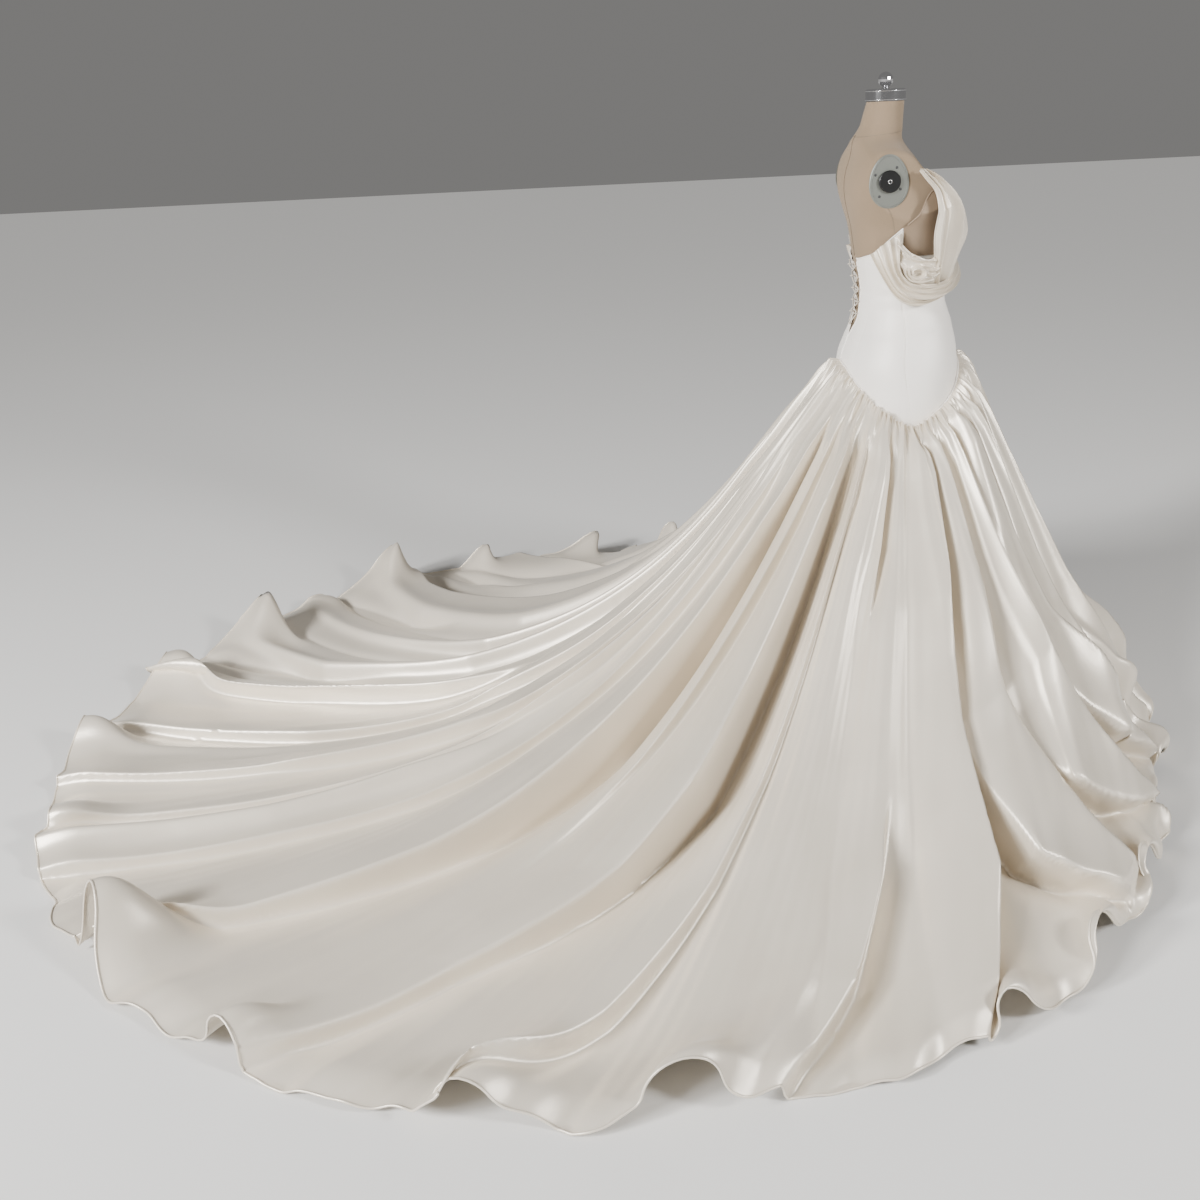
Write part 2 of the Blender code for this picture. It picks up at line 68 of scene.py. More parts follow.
def cloth_material(name, dark, light, roughness, sheen, weave, crease=0.0, coat=0.0, lustre=0.0):
    """Satin or linen: slow colour variation, a fine weave as bump and small soft creases."""
    made, nodes = new_material(name)
    shader = set_up(nodes["Principled BSDF"], {
        "Metallic": lustre, "Roughness": roughness, "Sheen Weight": sheen, "Sheen Roughness": 0.45,
        "Coat Weight": coat, "Coat Roughness": 0.42,
    })
    place = nodes.new("ShaderNodeTexCoord")
    uneven = set_up(nodes.new("ShaderNodeTexNoise"), {"Scale": 6.0, "Detail": 4.0})
    wire(place, "Object", uneven, "Vector")
    tint = nodes.new("ShaderNodeMix")
    tint.data_type = "RGBA"
    tint.inputs["A"].default_value = (*dark, 1)
    tint.inputs["B"].default_value = (*light, 1)
    wire(uneven, "Fac", tint, "Factor")
    wire(tint, "Result", shader, "Base Color")
    gloss = set_up(nodes.new("ShaderNodeMapRange"), {"To Min": roughness - 0.05, "To Max": roughness + 0.07})
    wire(uneven, "Fac", gloss, "Value")
    wire(gloss, "Result", shader, "Roughness")
    both = nodes.new("ShaderNodeMath")
    both.operation = "MULTIPLY"
    for side, across in enumerate("XY"):
        thread = set_up(nodes.new("ShaderNodeTexWave"), {"Scale": weave, "Distortion": 0.6})
        thread.bands_direction = across
        wire(place, "UV", thread, "Vector")
        wire(thread, "Fac", both, side)
    fine = set_up(nodes.new("ShaderNodeBump"), {"Strength": 0.12, "Distance": 0.0004})
    wire(both, "Value", fine, "Height")
    creases = set_up(nodes.new("ShaderNodeTexNoise"), {"Scale": 14.0, "Detail": 3.0, "Distortion": 0.8})
    wire(place, "Object", creases, "Vector")
    soft = set_up(nodes.new("ShaderNodeBump"), {"Strength": crease, "Distance": 0.004})
    wire(creases, "Fac", soft, "Height")
    wire(fine, "Normal", soft, "Normal")
    wire(soft, "Normal", shader, "Normal")
    return made


def metal_material(name, colour, roughness, metallic=1.0):
    """Metal, or a plain hard surface where metallic is low, with an unevenly rubbed gloss."""
    wear = 0.04
    made, nodes = new_material(name)
    shader = set_up(nodes["Principled BSDF"], {"Base Color": (*colour, 1), "Metallic": metallic})
    place = nodes.new("ShaderNodeTexCoord")
    rub = set_up(nodes.new("ShaderNodeTexNoise"), {"Scale": 60.0, "Detail": 5.0})
    wire(place, "Object", rub, "Vector")
    gloss = set_up(nodes.new("ShaderNodeMapRange"), {
        "To Min": max(0.03, roughness - wear), "To Max": roughness + wear,
    })
    wire(rub, "Fac", gloss, "Value")
    wire(gloss, "Result", shader, "Roughness")
    return made


SATIN = cloth_material("satin_look", (0.71, 0.635, 0.525), (0.81, 0.74, 0.63), roughness=0.36,
                       sheen=0.10, weave=900, crease=0.10, coat=0.05, lustre=0.30)
BODICE = cloth_material("bodice_look", (0.92, 0.87, 0.80), (0.97, 0.925, 0.865), roughness=0.48,
                        sheen=0.15, weave=900, crease=0.03, lustre=0.05)
# The cups' satin, darkened: painted shade of the hollow between the bust drape and the form.
CUP_SATIN_PAINTED_SHADE = cloth_material("cup_satin_painted_shade_look", (0.21, 0.15, 0.095), (0.27, 0.195, 0.13), roughness=0.40,
                        sheen=0.10, weave=900, crease=0.03, lustre=0.15)
CORD = cloth_material("cord_look", (0.50, 0.45, 0.38), (0.62, 0.57, 0.50), roughness=0.60,
                      sheen=0.30, weave=700, crease=0.10)
LINEN = cloth_material("linen_look", (0.225, 0.16, 0.098), (0.28, 0.205, 0.135), roughness=0.88,
                       sheen=0.15, weave=260, crease=0.06)
SEAM = cloth_material("seam_look", (0.16, 0.12, 0.08), (0.24, 0.19, 0.13), roughness=0.80,
                      sheen=0.10, weave=700)
CHROME = metal_material("chrome_look", (0.80, 0.80, 0.82), roughness=0.10)
PLATE = metal_material("plate_look", (0.19, 0.197, 0.175), roughness=0.46, metallic=0.50)
SCREW = metal_material("screw_look", (0.06, 0.06, 0.06), roughness=0.50, metallic=0.6)
DISC = metal_material("disc_look", (0.008, 0.008, 0.008), roughness=0.30, metallic=0.0)
STAND = metal_material("stand_look", (0.10, 0.10, 0.10), roughness=0.45, metallic=0.3)
FLOOR = metal_material("floor_look", (0.80, 0.79, 0.77), roughness=0.70, metallic=0.0)

CARRIED = {"form_neck_cap": CHROME, "form_knob": CHROME, "form_base": STAND, "form_pole": STAND,
           "form_arm_plate_right": PLATE, "form_arm_plate_left": PLATE, "form_arm_disc_right": DISC,
           "form_arm_disc_left": DISC, "lace_knot": CORD}


def repaint(node, look):
    """Give a node that is kept from the part its look."""
    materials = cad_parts[node].data.materials
    materials.clear()
    materials.append(look)


for node, look in CARRIED.items():
    repaint(node, look)
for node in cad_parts:
    if node.startswith("loop_"):
        repaint(node, CORD)

# --- mesh helpers ----------------------------------------------------------------------------


def grid_object(name, points, look, nodes):
    """A smooth surface through a rows x columns grid of points, with its texture laid out in metres."""
    rows, cols = points.shape[:2]
    mesh = bpy.data.meshes.new(name)
    index = np.arange(rows * cols).reshape(rows, cols)
    quads = np.stack([index[:-1, :-1], index[:-1, 1:], index[1:, 1:], index[1:, :-1]], axis=-1).reshape(-1, 4)
    mesh.vertices.add(rows * cols)
    mesh.vertices.foreach_set("co", points.astype(np.float32).ravel())
    mesh.loops.add(quads.size)
    mesh.loops.foreach_set("vertex_index", quads.astype(np.int32).ravel())
    mesh.polygons.add(len(quads))
    mesh.polygons.foreach_set("loop_start", np.arange(0, quads.size, 4, dtype=np.int32))
    mesh.polygons.foreach_set("use_smooth", np.ones(len(quads), bool))
    mesh.update(calc_edges=True)
    across = np.linalg.norm(np.diff(points, axis=1), axis=2).mean(axis=0)
    length = np.linalg.norm(np.diff(points, axis=0), axis=2).mean(axis=1)
    u, v = np.meshgrid(np.r_[0, np.cumsum(across)], np.r_[0, np.cumsum(length)])
    cut = np.stack([u, v], axis=-1).reshape(-1, 2)[quads.ravel()]
    layer = mesh.uv_layers.new(name="cut")
    layer.data.foreach_set("uv", cut.astype(np.float32).ravel())
    mesh.materials.append(look)
    return placed(bpy.data.objects.new(name, mesh), nodes)


def placed(made, nodes):
    """Put a piece in the scene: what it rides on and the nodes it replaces."""
    bpy.context.scene.collection.objects.link(made)
    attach(made, "root")
    if nodes:
        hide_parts(*nodes)
    return made


def tube(name, points, diameter, look, nodes=(), closed=False, round_steps=3):
    """A round cord, seam or bound edge along a line of points."""
    curve = bpy.data.curves.new(name, "CURVE")
    curve.dimensions = "3D"
    curve.bevel_depth = diameter / 2
    curve.bevel_resolution = round_steps
    curve.use_fill_caps = not closed
    line = curve.splines.new("POLY")
    line.points.add(len(points) - 1)
    line.points.foreach_set("co", np.c_[points, np.ones(len(points))].astype(np.float32).ravel())
    line.use_cyclic_u = closed
    curve.materials.append(look)
    return placed(bpy.data.objects.new(name, curve), nodes)


def ball(name, centre, radius, look, squash):
    """A ball, flattened by the three factors of squash."""
    bpy.ops.mesh.primitive_uv_sphere_add(segments=24, ring_count=14, radius=radius, location=centre)
    made = bpy.context.object
    made.name = name
    made.scale = squash
    bpy.ops.object.transform_apply(location=False, rotation=False, scale=True)
    bpy.ops.object.shade_smooth()
    made.data.materials.append(look)
    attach(made, "root")
    return made


def smooth_path(knots, count):
    """Evenly spaced points on a smooth curve through the knots."""
    knots = np.array(knots, float)
    padded = np.vstack([2 * knots[0] - knots[1], knots, 2 * knots[-1] - knots[-2]])
    fine = []
    for i in range(len(knots) - 1):
        a, b, c, d = padded[i : i + 4]
        for t in np.linspace(0, 1, 24, endpoint=False):
            fine.append(
                0.5 * ((2 * b) + (c - a) * t + (2 * a - 5 * b + 4 * c - d) * t**2
                       + (3 * b - a - 3 * c + d) * t**3)
            )
    fine = np.array(fine + [knots[-1]])
    along = np.r_[0, np.cumsum(np.linalg.norm(np.diff(fine, axis=0), axis=1))]
    even = np.linspace(0, along[-1], count)
    return np.stack([np.interp(even, along, fine[:, k]) for k in range(3)], axis=1)


def smooth_step(x):
    """0 up to 0, 1 from 1 on, and a soft rise between."""
    x = np.clip(x, 0, 1)
    return x * x * (3 - 2 * x)


def full_turn(count):
    """Even angles round a circle, in radians."""
    return np.radians(np.arange(count) * 360 / count)


def bump(away, low_side, high_side=None):
    """A soft ridge, 1 at its line and fading over a half width on each side."""
    width = low_side if high_side is None else np.where(away < 0, low_side, high_side)
    return np.exp(-((away / width) ** 2))


def crease(away, low_side, high_side):
    """A sharp valley, 1 at its line, where two rounded folds meet."""
    width = np.where(away < 0, low_side, high_side)
    rounding = 0.003
    return np.exp(-1.25 * (np.sqrt(away**2 + rounding**2) - rounding) / width)


def ripple(u, v, count, reach, seed):
    """Smooth uneven waves of unit size over two lengths in metres, the same at every run."""
    waves = np.random.default_rng(seed)
    total = 0 * u
    for _ in range(count):
        turn = waves.uniform(0, 2 * np.pi)
        pitch_u, pitch_v = waves.uniform(*reach[0]), waves.uniform(*reach[1])
        total = total + np.sin(2 * np.pi * (u / pitch_u + v / pitch_v * waves.choice([-1, 1])) + turn)
    return total / np.sqrt(count)


# --- the form's surface ----------------------------------------------------------------------

# height, middle (y), half depth, half width, squareness of the section
FORM = np.array([
    (0.700, -0.0360, 0.1200, 0.1500, 2.10),
    (0.800, -0.0360, 0.1360, 0.1720, 2.10),
    (0.880, -0.0360, 0.1385, 0.1750, 2.10),
    (0.948, -0.0365, 0.1355, 0.1690, 2.10),
    (1.000, -0.0420, 0.1230, 0.1530, 2.10),
    (1.040, -0.0450, 0.1110, 0.1330, 2.10),
    (1.085, -0.0420, 0.1010, 0.1190, 2.10),
    (1.130, -0.0420, 0.1015, 0.1200, 2.10),
    (1.180, -0.0400, 0.1090, 0.1280, 2.10),
    (1.230, -0.0400, 0.1160, 0.1370, 2.10),
    (1.270, -0.0385, 0.1210, 0.1460, 2.15),
    (1.310, -0.0300, 0.1220, 0.1650, 2.30),
    (1.346, -0.0150, 0.1130, 0.1850, 2.40),
    (1.377, 0.0000, 0.0980, 0.1900, 2.40),
    (1.403, 0.0120, 0.0810, 0.1880, 2.40),
    (1.433, 0.0180, 0.0660, 0.1650, 2.30),
    (1.450, 0.0200, 0.0610, 0.1250, 2.20),
    (1.467, 0.0210, 0.0575, 0.0820, 2.10),
    (1.496, 0.0110, 0.0500, 0.0560, 2.05),
    (1.528, 0.0050, 0.0465, 0.0480, 2.00),
    (1.556, 0.0000, 0.0430, 0.0465, 2.00),
])
FORM_TOP = 1.5557
ARM_PLANE = 0.143  # from the middle to the flat of each arm hole
PLATE_Y, PLATE_Z = 0.033, 1.379
PLATE_STANDS_OUT = 0.0040
DISC_STANDS_OUT = 0.0066
# Each plate's screws, from its middle: y and z.
SCREWS = ((0.033, 0.016), (-0.017, 0.031), (-0.026, -0.018), (0.023, -0.033))
# Seams of the linen: angle, lower and upper end.
FORM_SEAMS = ((112, 1.22, 1.325), (248, 1.22, 1.325), (180, 1.195, 1.480), (0, 1.21, 1.480))
# Beads round the neck cap: height and radius.
CAP_BEADS = ((1.5592, 0.0474), (1.5795, 0.0472))


def turned_from_front(angle):
    """Degrees away from the front on either side, up to 180."""
    return np.abs((np.asarray(angle) + 180) % 360 - 180)


def section(height):
    """Middle, half depth, half width and squareness at a height, on smooth curves."""
    at = np.clip(height, FORM[0, 0], FORM[-1, 0])
    slope = np.gradient(FORM[:, 1:], FORM[:, 0], axis=0)
    index = np.clip(np.searchsorted(FORM[:, 0], at) - 1, 0, len(FORM) - 2)
    step = FORM[index + 1, 0] - FORM[index, 0]
    t = (at - FORM[index, 0]) / step
    found = []
    for k in range(4):
        low, high = FORM[index, k + 1], FORM[index + 1, k + 1]
        found.append(
            low + (high - low) * (3 * t**2 - 2 * t**3)
            + step * (slope[index, k] * (t - 2 * t**2 + t**3) + slope[index + 1, k] * (t**3 - t**2))
        )
    return found


def form_point(angle, height, off=0.0, ease=0.016):
    """A point on the form, or that far outside it; ease is how softly the flat of the arm starts."""
    angle, height, off = np.broadcast_arrays(
        np.asarray(angle, float), np.asarray(height, float), np.asarray(off, float)
    )
    middle, depth, width, power = section(height)
    side, back = -np.sin(np.radians(angle)), -np.cos(np.radians(angle))
    radius = ((np.abs(side) / width) ** power + (np.abs(back) / depth) ** power) ** (-1 / power)
    bust = np.exp(-(((turned_from_front(angle) - 33) / 19) ** 2) - ((height - 1.25) / 0.045) ** 2)
    radius += 0.016 * bust
    radius += off
    below = 1.297 - height  # under the arm the flat slopes out and lets the form round off
    flat = ARM_PLANE + 0.5 * (below + np.sqrt(below**2 + ease**2)) + off
    return np.stack([np.clip(radius * side, -flat, flat), middle + radius * back, height], axis=-1)


def neck_seam(angle):
    return 1.482 + 0.006 * np.cos(np.radians(angle))


def side_ring(x, turn, wide, high):
    """A ring that faces sideways, round the middle of an arm plate."""
    return np.stack([0 * turn + x, PLATE_Y + wide * np.cos(turn), PLATE_Z + high * np.sin(turn)], axis=1)


def make_form():
    heights = np.linspace(0.70, FORM_TOP, int(110 * FINE))
    angles = np.linspace(0, 360, int(120 * FINE) + 1)
    angle, height = np.meshgrid(angles, heights)
    groove = 0.0009 * np.exp(-(((height - neck_seam(angle)) / 0.0016) ** 2))
    for seam, _, _ in sorted(FORM_SEAMS):
        away = np.radians((angle - seam + 180) % 360 - 180) * 0.13
        groove = groove + 0.0007 * np.exp(-((away / 0.0016) ** 2)) * (height < 1.50)
    grid_object("fine_torso", form_point(angle, height, -groove), LINEN, ["form_torso"])
    for seam, low, high in FORM_SEAMS:
        line = np.linspace(low, high, 60)
        tube(f"form_seam_{seam}", form_point(seam, line, 0.0002), 0.0011, SEAM)
    turn = np.linspace(0, 360, 97)[:-1]
    tube("form_seam_neck", form_point(turn, neck_seam(turn), 0.0002), 0.0010, SEAM, closed=True)


def make_metal_trim():
    """Screws, disc rings and rims of the arm plates, and the beads of the neck cap."""
    for side, name in ((-1, "right"), (1, "left")):
        face = side * (ARM_PLANE + PLATE_STANDS_OUT)
        for number, (y, z) in enumerate(SCREWS, 1):
            centre = (face, PLATE_Y + y, PLATE_Z + z)
            ball(f"plate_screw_{name}_{number}", centre, 0.0032, SCREW, (0.45, 1, 1))
        ring = side_ring(face + side * DISC_STANDS_OUT, full_turn(24), 0.0042, 0.0042)
        tube(f"disc_ring_{name}", ring, 0.0019, CHROME, closed=True)
        turn = full_turn(48)
        rim = side_ring(face, turn, 0.0415 * (1 - 0.10 * np.sin(turn)), 0.0570)
        tube(f"plate_rim_{name}", rim, 0.0016, PLATE, closed=True)
    turn = full_turn(64)
    for number, (height, radius) in enumerate(CAP_BEADS, 1):
        ring = np.stack([radius * np.cos(turn), radius * np.sin(turn), 0 * turn + height], axis=1)
        tube(f"cap_bead_{number}", ring, 0.0016, CHROME, closed=True)


# --- bodice ----------------------------------------------------------------------------------

# The bodice's upper and lower edge: angle from the front, on either side, and height.
TOP_EDGE = np.array([(0, 1.212), (20, 1.235), (38, 1.330), (55, 1.366), (75, 1.354), (90, 1.300),
                     (109, 1.260), (127, 1.221), (138, 1.205), (160, 1.192), (180, 1.188)])
WAIST = np.array([(0, 0.942), (20, 0.936), (38, 0.914), (51, 0.882), (71, 0.843), (86, 0.812), (94, 0.799),
                  (107, 0.818), (120, 0.846), (137, 0.883), (160, 0.925), (180, 0.940)])


CUP_FROM = 1.205
SEAM_SIDE = 104.0  # angle of the side seam
BODICE_OFF = 0.0036
CUP_OFF = 0.0052
DRAPE_EASE = 0.045
METRES_A_DEGREE = 0.0024  # around the waist
BODICE_GAP = 0.0005  # between the bodice's lower edge and the skirt


def softened(table, angle, steps):
    """A table of angle and height read around the body, with its corners rounded off."""
    away = turned_from_front(angle)
    found = [np.interp(np.clip(away + step, 0, 180), table[:, 0], table[:, 1]) for step in steps]
    return sum(found) / len(found)


def basque(angle):
    """Height of the bodice's lower edge: high in front and behind, pointed at each side."""
    return softened(WAIST, angle, (-3, 0, 3))


def top_edge(angle):
    return softened(TOP_EDGE, angle, (-4, -2, 0, 2, 4))


def gap_half(height):
    """Half the laced gap, in degrees, at a height: it closes below the knot."""
    return np.interp(height, (0.995, 1.045, 1.19), (0.25, 9.5, 11.0))


def side_seam(height):
    """Angle of the stitched side seam at a height."""
    return np.interp(height, (0.80, 0.94, 1.08, 1.22), (95, 101, 104, 104))


def bodice_relief(angle, height):
    """Small reliefs of the fitted cloth: seams, soft pulls at the waist and under the bust."""
    from_front = turned_from_front(angle)
    around = from_front * METRES_A_DEGREE
    relief = 0 * angle
    for seam in (32 - 10 * (height - 1.0), 150 - 20 * (height - 1.0)):
        relief = relief - 0.0008 * bump((from_front - seam) * METRES_A_DEGREE, 0.0016)
    relief = relief - 0.0014 * bump((from_front - side_seam(height)) * METRES_A_DEGREE, 0.0018)
    pull = ripple(around, height, 6, ((0.15, 0.5), (0.030, 0.070)), 3)
    relief = relief + 0.0007 * pull * np.exp(-(((height - 1.09) / 0.09) ** 2))
    return relief + 0.0006 * ripple(around, height, 5, ((0.05, 0.2), (0.10, 0.4)), 5)


def fitted(name, angles, low, high, rows, nodes, off=BODICE_OFF, look=BODICE, ease=0.016):
    """A panel that fits the form between two heights."""
    t = np.linspace(0, 1, rows)[:, None]
    angles = np.broadcast_to(angles, (rows, np.shape(angles)[-1]))
    heights = low * (1 - t) + high * t
    points = form_point(angles, heights, off + bodice_relief(angles, heights), ease)
    return grid_object(name, points, look, nodes)


def make_back(side, name):
    columns = np.linspace(0, 1, int(66 * FINE))
    t = np.linspace(0, 1, int(100 * FINE))[:, None]
    rough = 0.94 * (1 - t) + 1.188 * t
    angles = SEAM_SIDE * (1 - columns) + (180 - gap_half(rough)) * columns
    heights = (basque(angles) + BODICE_GAP) * (1 - t) + top_edge(angles) * t
    points = form_point(side * angles, heights, BODICE_OFF + 0.0002 + bodice_relief(angles, heights))
    piece = grid_object("fine_back_" + name, points, BODICE, ["bodice_back_" + name])
    tube("back_edge_" + name, smooth_path(points[::6, -1], 90), 0.0030, BODICE)
    tube("back_top_" + name, smooth_path(points[-1, ::5], 70), 0.0030, BODICE)
    line = np.linspace(basque(95) + 0.004, 1.20, 60)
    stitched = form_point(side * side_seam(line), line, BODICE_OFF - 0.0007)
    tube("side_seam_" + name, stitched, 0.0016, BODICE)


def make_cup(side, name):
    turn = side * np.linspace(3.0, SEAM_SIDE, int(100 * FINE))
    # The cup's satin carries painted shade.
    piece = fitted("fine_cup_" + name, turn, np.full(len(turn), CUP_FROM), top_edge(turn), int(54 * FINE),
                   ["cup_" + name], CUP_OFF, CUP_SATIN_PAINTED_SHADE, DRAPE_EASE)
    # The rim tube is the cup's rounded edge, darkened with painted shadow of the gap between the cup and the
    # form.
    rim = form_point(turn, top_edge(turn), CUP_OFF, DRAPE_EASE)
    tube("cup_rim_painted_shadow_" + name, smooth_path(rim[::5], 90), 0.0036, CUP_SATIN_PAINTED_SHADE)


def make_bodice():
    front = np.linspace(-SEAM_SIDE - 0.3, SEAM_SIDE + 0.3, int(170 * FINE))
    upper = np.minimum(top_edge(front), CUP_FROM + 0.004)
    piece = fitted("fine_bodice_front", front, basque(front) + BODICE_GAP, upper, int(90 * FINE),
                   ["bodice_front"])
    for side, name in ((1, "right"), (-1, "left")):
        make_back(side, name)
        make_cup(side, name)
    turn = np.linspace(0, 360, 361)[:-1]
    seam = form_point(turn, basque(turn) + 0.0012, 0.0056)
    tube("waist_piping", seam, 0.0042, BODICE, closed=True)


# --- bust drape ------------------------------------------------------------------------------

# Sections along each length of the drape: angle, height and distance from the form at one edge, at the
# middle and at the other edge.
BAND = [
    (105, 1.262, 0.0075, 123, 1.231, 0.0100, 137, 1.204, 0.0060),
    (105, 1.235, 0.0130, 119, 1.203, 0.0170, 130, 1.176, 0.0080),
    (106, 1.205, 0.0180, 115, 1.172, 0.0220, 123, 1.146, 0.0090),
    (105, 1.172, 0.0220, 109, 1.140, 0.0260, 114, 1.114, 0.0100),
    (99, 1.150, 0.0240, 100, 1.120, 0.0280, 103, 1.094, 0.0100),
    (88, 1.139, 0.0260, 88, 1.110, 0.0290, 89, 1.086, 0.0100),
    (76, 1.136, 0.0240, 75, 1.112, 0.0260, 75, 1.094, 0.0100),
    (60, 1.140, 0.0200, 59, 1.120, 0.0210, 59, 1.105, 0.0100),
    (42, 1.150, 0.0160, 41, 1.133, 0.0170, 41, 1.118, 0.0090),
    (24, 1.163, 0.0150, 24, 1.150, 0.0160, 24, 1.140, 0.0080),
    (10, 1.178, 0.0100, 10, 1.168, 0.0100, 10, 1.158, 0.0070),
    (3, 1.184, 0.0070, 3, 1.178, 0.0070, 3, 1.172, 0.0060),
]
LOBE = [
    (77, 1.402, 0.013, 74, 1.406, 0.015, 69, 1.402, 0.014),
    (76, 1.380, 0.018, 69, 1.388, 0.021, 56, 1.384, 0.014),
    (74, 1.358, 0.019, 64, 1.362, 0.021, 46, 1.362, 0.012),
    (76, 1.328, 0.024, 61, 1.332, 0.023, 37, 1.330, 0.008),
    (79, 1.296, 0.027, 60, 1.302, 0.026, 32, 1.302, 0.007),
    (81, 1.258, 0.030, 60, 1.262, 0.027, 28, 1.262, 0.007),
    (80, 1.226, 0.029, 60, 1.226, 0.026, 28, 1.230, 0.009),
    (77, 1.185, 0.024, 60, 1.186, 0.022, 29, 1.196, 0.010),
    (74, 1.138, 0.009, 60, 1.138, 0.012, 31, 1.154, 0.007),
]
SWIRL = [
    (110, 1.252, 0.0100, 110, 1.190, 0.0180, 108, 1.160, 0.0140),
    (106, 1.236, 0.0190, 104, 1.180, 0.0260, 103, 1.140, 0.0160),
    (100, 1.217, 0.0240, 98, 1.172, 0.0300, 97, 1.130, 0.0180),
    (93, 1.206, 0.0250, 92, 1.168, 0.0320, 91, 1.126, 0.0190),
    (86, 1.198, 0.0270, 85, 1.166, 0.0320, 84, 1.124, 0.0190),
    (79, 1.202, 0.0300, 78, 1.168, 0.0310, 77, 1.124, 0.0180),
    (72, 1.212, 0.0280, 71, 1.170, 0.0290, 70, 1.126, 0.0160),
]


def drape_grid(rows, along_count, across_count):
    """A smooth grid of (angle, height, off) through the sections of a drape."""
    columns = [smooth_path(np.array(rows)[:, k : k + 3] * (0.01, 1, 1), along_count) for k in (0, 3, 6)]
    first, fullest, last = (c[:, None, :] * (100, 1, 1) for c in columns)
    t = np.linspace(0, 1, across_count)[None, :, None]
    return first * (1 - t) * (1 - 2 * t) + fullest * 4 * t * (1 - t) + last * t * (2 * t - 1)


# Pleats of the band: place across it at the back end, half way and in front; height; half width on
# the upper and on the lower side.
BAND_PLEATS = [
    (0.06, 0.08, 0.08, 0.0120, 0.040, 0.020), (0.30, 0.30, 0.34, 0.0080, 0.070, 0.018),
    (0.52, 0.62, 0.66, 0.0150, 0.110, 0.018), (0.72, 0.74, 0.78, 0.0080, 0.050, 0.016),
    (0.92, 0.93, 0.94, 0.0110, 0.060, 0.030),
]
# Lengthwise folds of the lobe: place across it at the top, half way and below; height; half widths.
LOBE_FOLDS = [
    (0.10, 0.06, 0.05, 0.0110, 0.040, 0.030), (0.27, 0.20, 0.16, 0.0140, 0.060, 0.026),
    (0.42, 0.40, 0.36, -0.0120, 0.090, 0.110), (0.62, 0.62, 0.58, 0.0110, 0.060, 0.030),
    (0.78, 0.75, 0.72, 0.0060, 0.050, 0.026), (0.90, 0.86, 0.84, 0.0070, 0.060, 0.020),
]
# Creases of the swirl beside the lobe: lines of (angle, height), rise and half width.
SWIRL_RIDGES = [
    ([(109, 1.236), (104, 1.220), (99, 1.206), (93, 1.199), (86, 1.198), (79, 1.196)], 0.0130, 0.0040),
    ([(105, 1.214), (101, 1.204), (96, 1.210), (90, 1.206)], 0.0070, 0.0030),
    ([(100, 1.176), (99, 1.164), (95, 1.155), (90, 1.156), (87, 1.164), (88, 1.175), (93, 1.180),
      (97, 1.175), (97, 1.167)], 0.0170, 0.0042),
    ([(106, 1.190), (103, 1.178), (102, 1.164), (98, 1.150), (90, 1.146), (80, 1.150)], 0.0140, 0.0046),
    ([(88, 1.186), (83, 1.182), (79, 1.172), (74, 1.178)], 0.0100, 0.0034),
    ([(84, 1.164), (79, 1.158), (73, 1.164)], 0.0080, 0.0034),
]


def drape_relief(along, across, folds, seed):
    """Pleats that run along a drape, with a little unevenness."""
    relief = 0 * along
    for start, middle, end, height, upper, lower in folds:
        place = np.interp(along, (0, 0.5, 1), (start, middle, end))
        spread = 0.55 + 0.7 * np.minimum(1, 2 * along)
        width = spread * np.where(across < place, upper, lower)
        relief = relief + height * np.exp(-((np.abs(across - place) / width) ** 1.25))
    return relief + 0.0008 * ripple(along, across, 6, ((0.5, 1.5), (0.12, 0.4)), seed)


def line_relief(angle, height, lines):
    """Ridges along lines given by angle and height."""
    relief = 0 * angle
    radius = 0.150  # metres per radian on the bust
    for knots, rise, width in lines:
        way = smooth_path([(np.radians(a) * radius, z, 0) for a, z in knots], 60)
        nearest = np.full(angle.shape, 9.0)
        for x, z, _ in way:
            nearest = np.minimum(nearest, np.hypot(np.radians(angle) * radius - x, height - z))
        relief = np.maximum(relief, rise * np.exp(-((nearest / width) ** 1.6)))
    return relief


DRAPE_DEPTH = 1.35
# Part, sections, pleats, flat width and length, seed of its unevenness.
DRAPES = (
    ("band_", BAND, BAND_PLEATS, (0.16, 0.44), 11),
    ("lobe_", LOBE, LOBE_FOLDS, (0.26, 0.32), 12),
    ("swirl_", SWIRL, [], (0.16, 0.14), 13),
)


def drape_surface(side, rows, folds, seed, creases=()):
    along_count, across_count = int(130 * FINE), int(84 * FINE)
    angle, height, off = np.moveaxis(drape_grid(rows, along_count, across_count), -1, 0)
    along, across = np.meshgrid(
        np.linspace(0, 1, along_count), np.linspace(0, 1, across_count), indexing="ij"
    )
    ease = smooth_step(across / 0.06) * smooth_step((1 - across) / 0.06)
    lift = DRAPE_DEPTH * drape_relief(along, across, folds, seed) * (0.5 + 0.5 * ease)
    if creases:
        lift = lift + line_relief(angle, height, creases)
    return form_point(side * angle, height, off + 0.002 + np.maximum(lift, -off * 0.5), DRAPE_EASE)


def make_drape():
    for side, name in ((1, "right"), (-1, "left")):
        for part, rows, folds, flat, seed in DRAPES:
            swirl = part == "swirl_"
            points = drape_surface(side, rows, folds, seed, SWIRL_RIDGES if swirl else ())
            stands_for = [] if swirl else [part + name]
            piece = grid_object("fine_" + part + name, points, SATIN, stands_for)
            for edge, column in (("lower", -1), ("upper", 0)):
                hem = smooth_path(points[::6, column], 120)
                tube(f"{part}{edge}_edge_{name}", hem, 0.0036, SATIN)


# --- back lacing -----------------------------------------------------------------------------

LOOP_HEIGHTS = (1.172, 1.143, 1.114, 1.085, 1.056)
KNOT_HEIGHT = 1.030
CROSSING_DROP = 0.0145  # from a pair of loops to the crossing under it
LACE_CORD = 0.0030


def loop_middle(side, height):
    edge = form_point(side * (180 - gap_half(height)), height, 0.0038)
    return edge + np.array((side * 0.0005, 0.0066, 0))


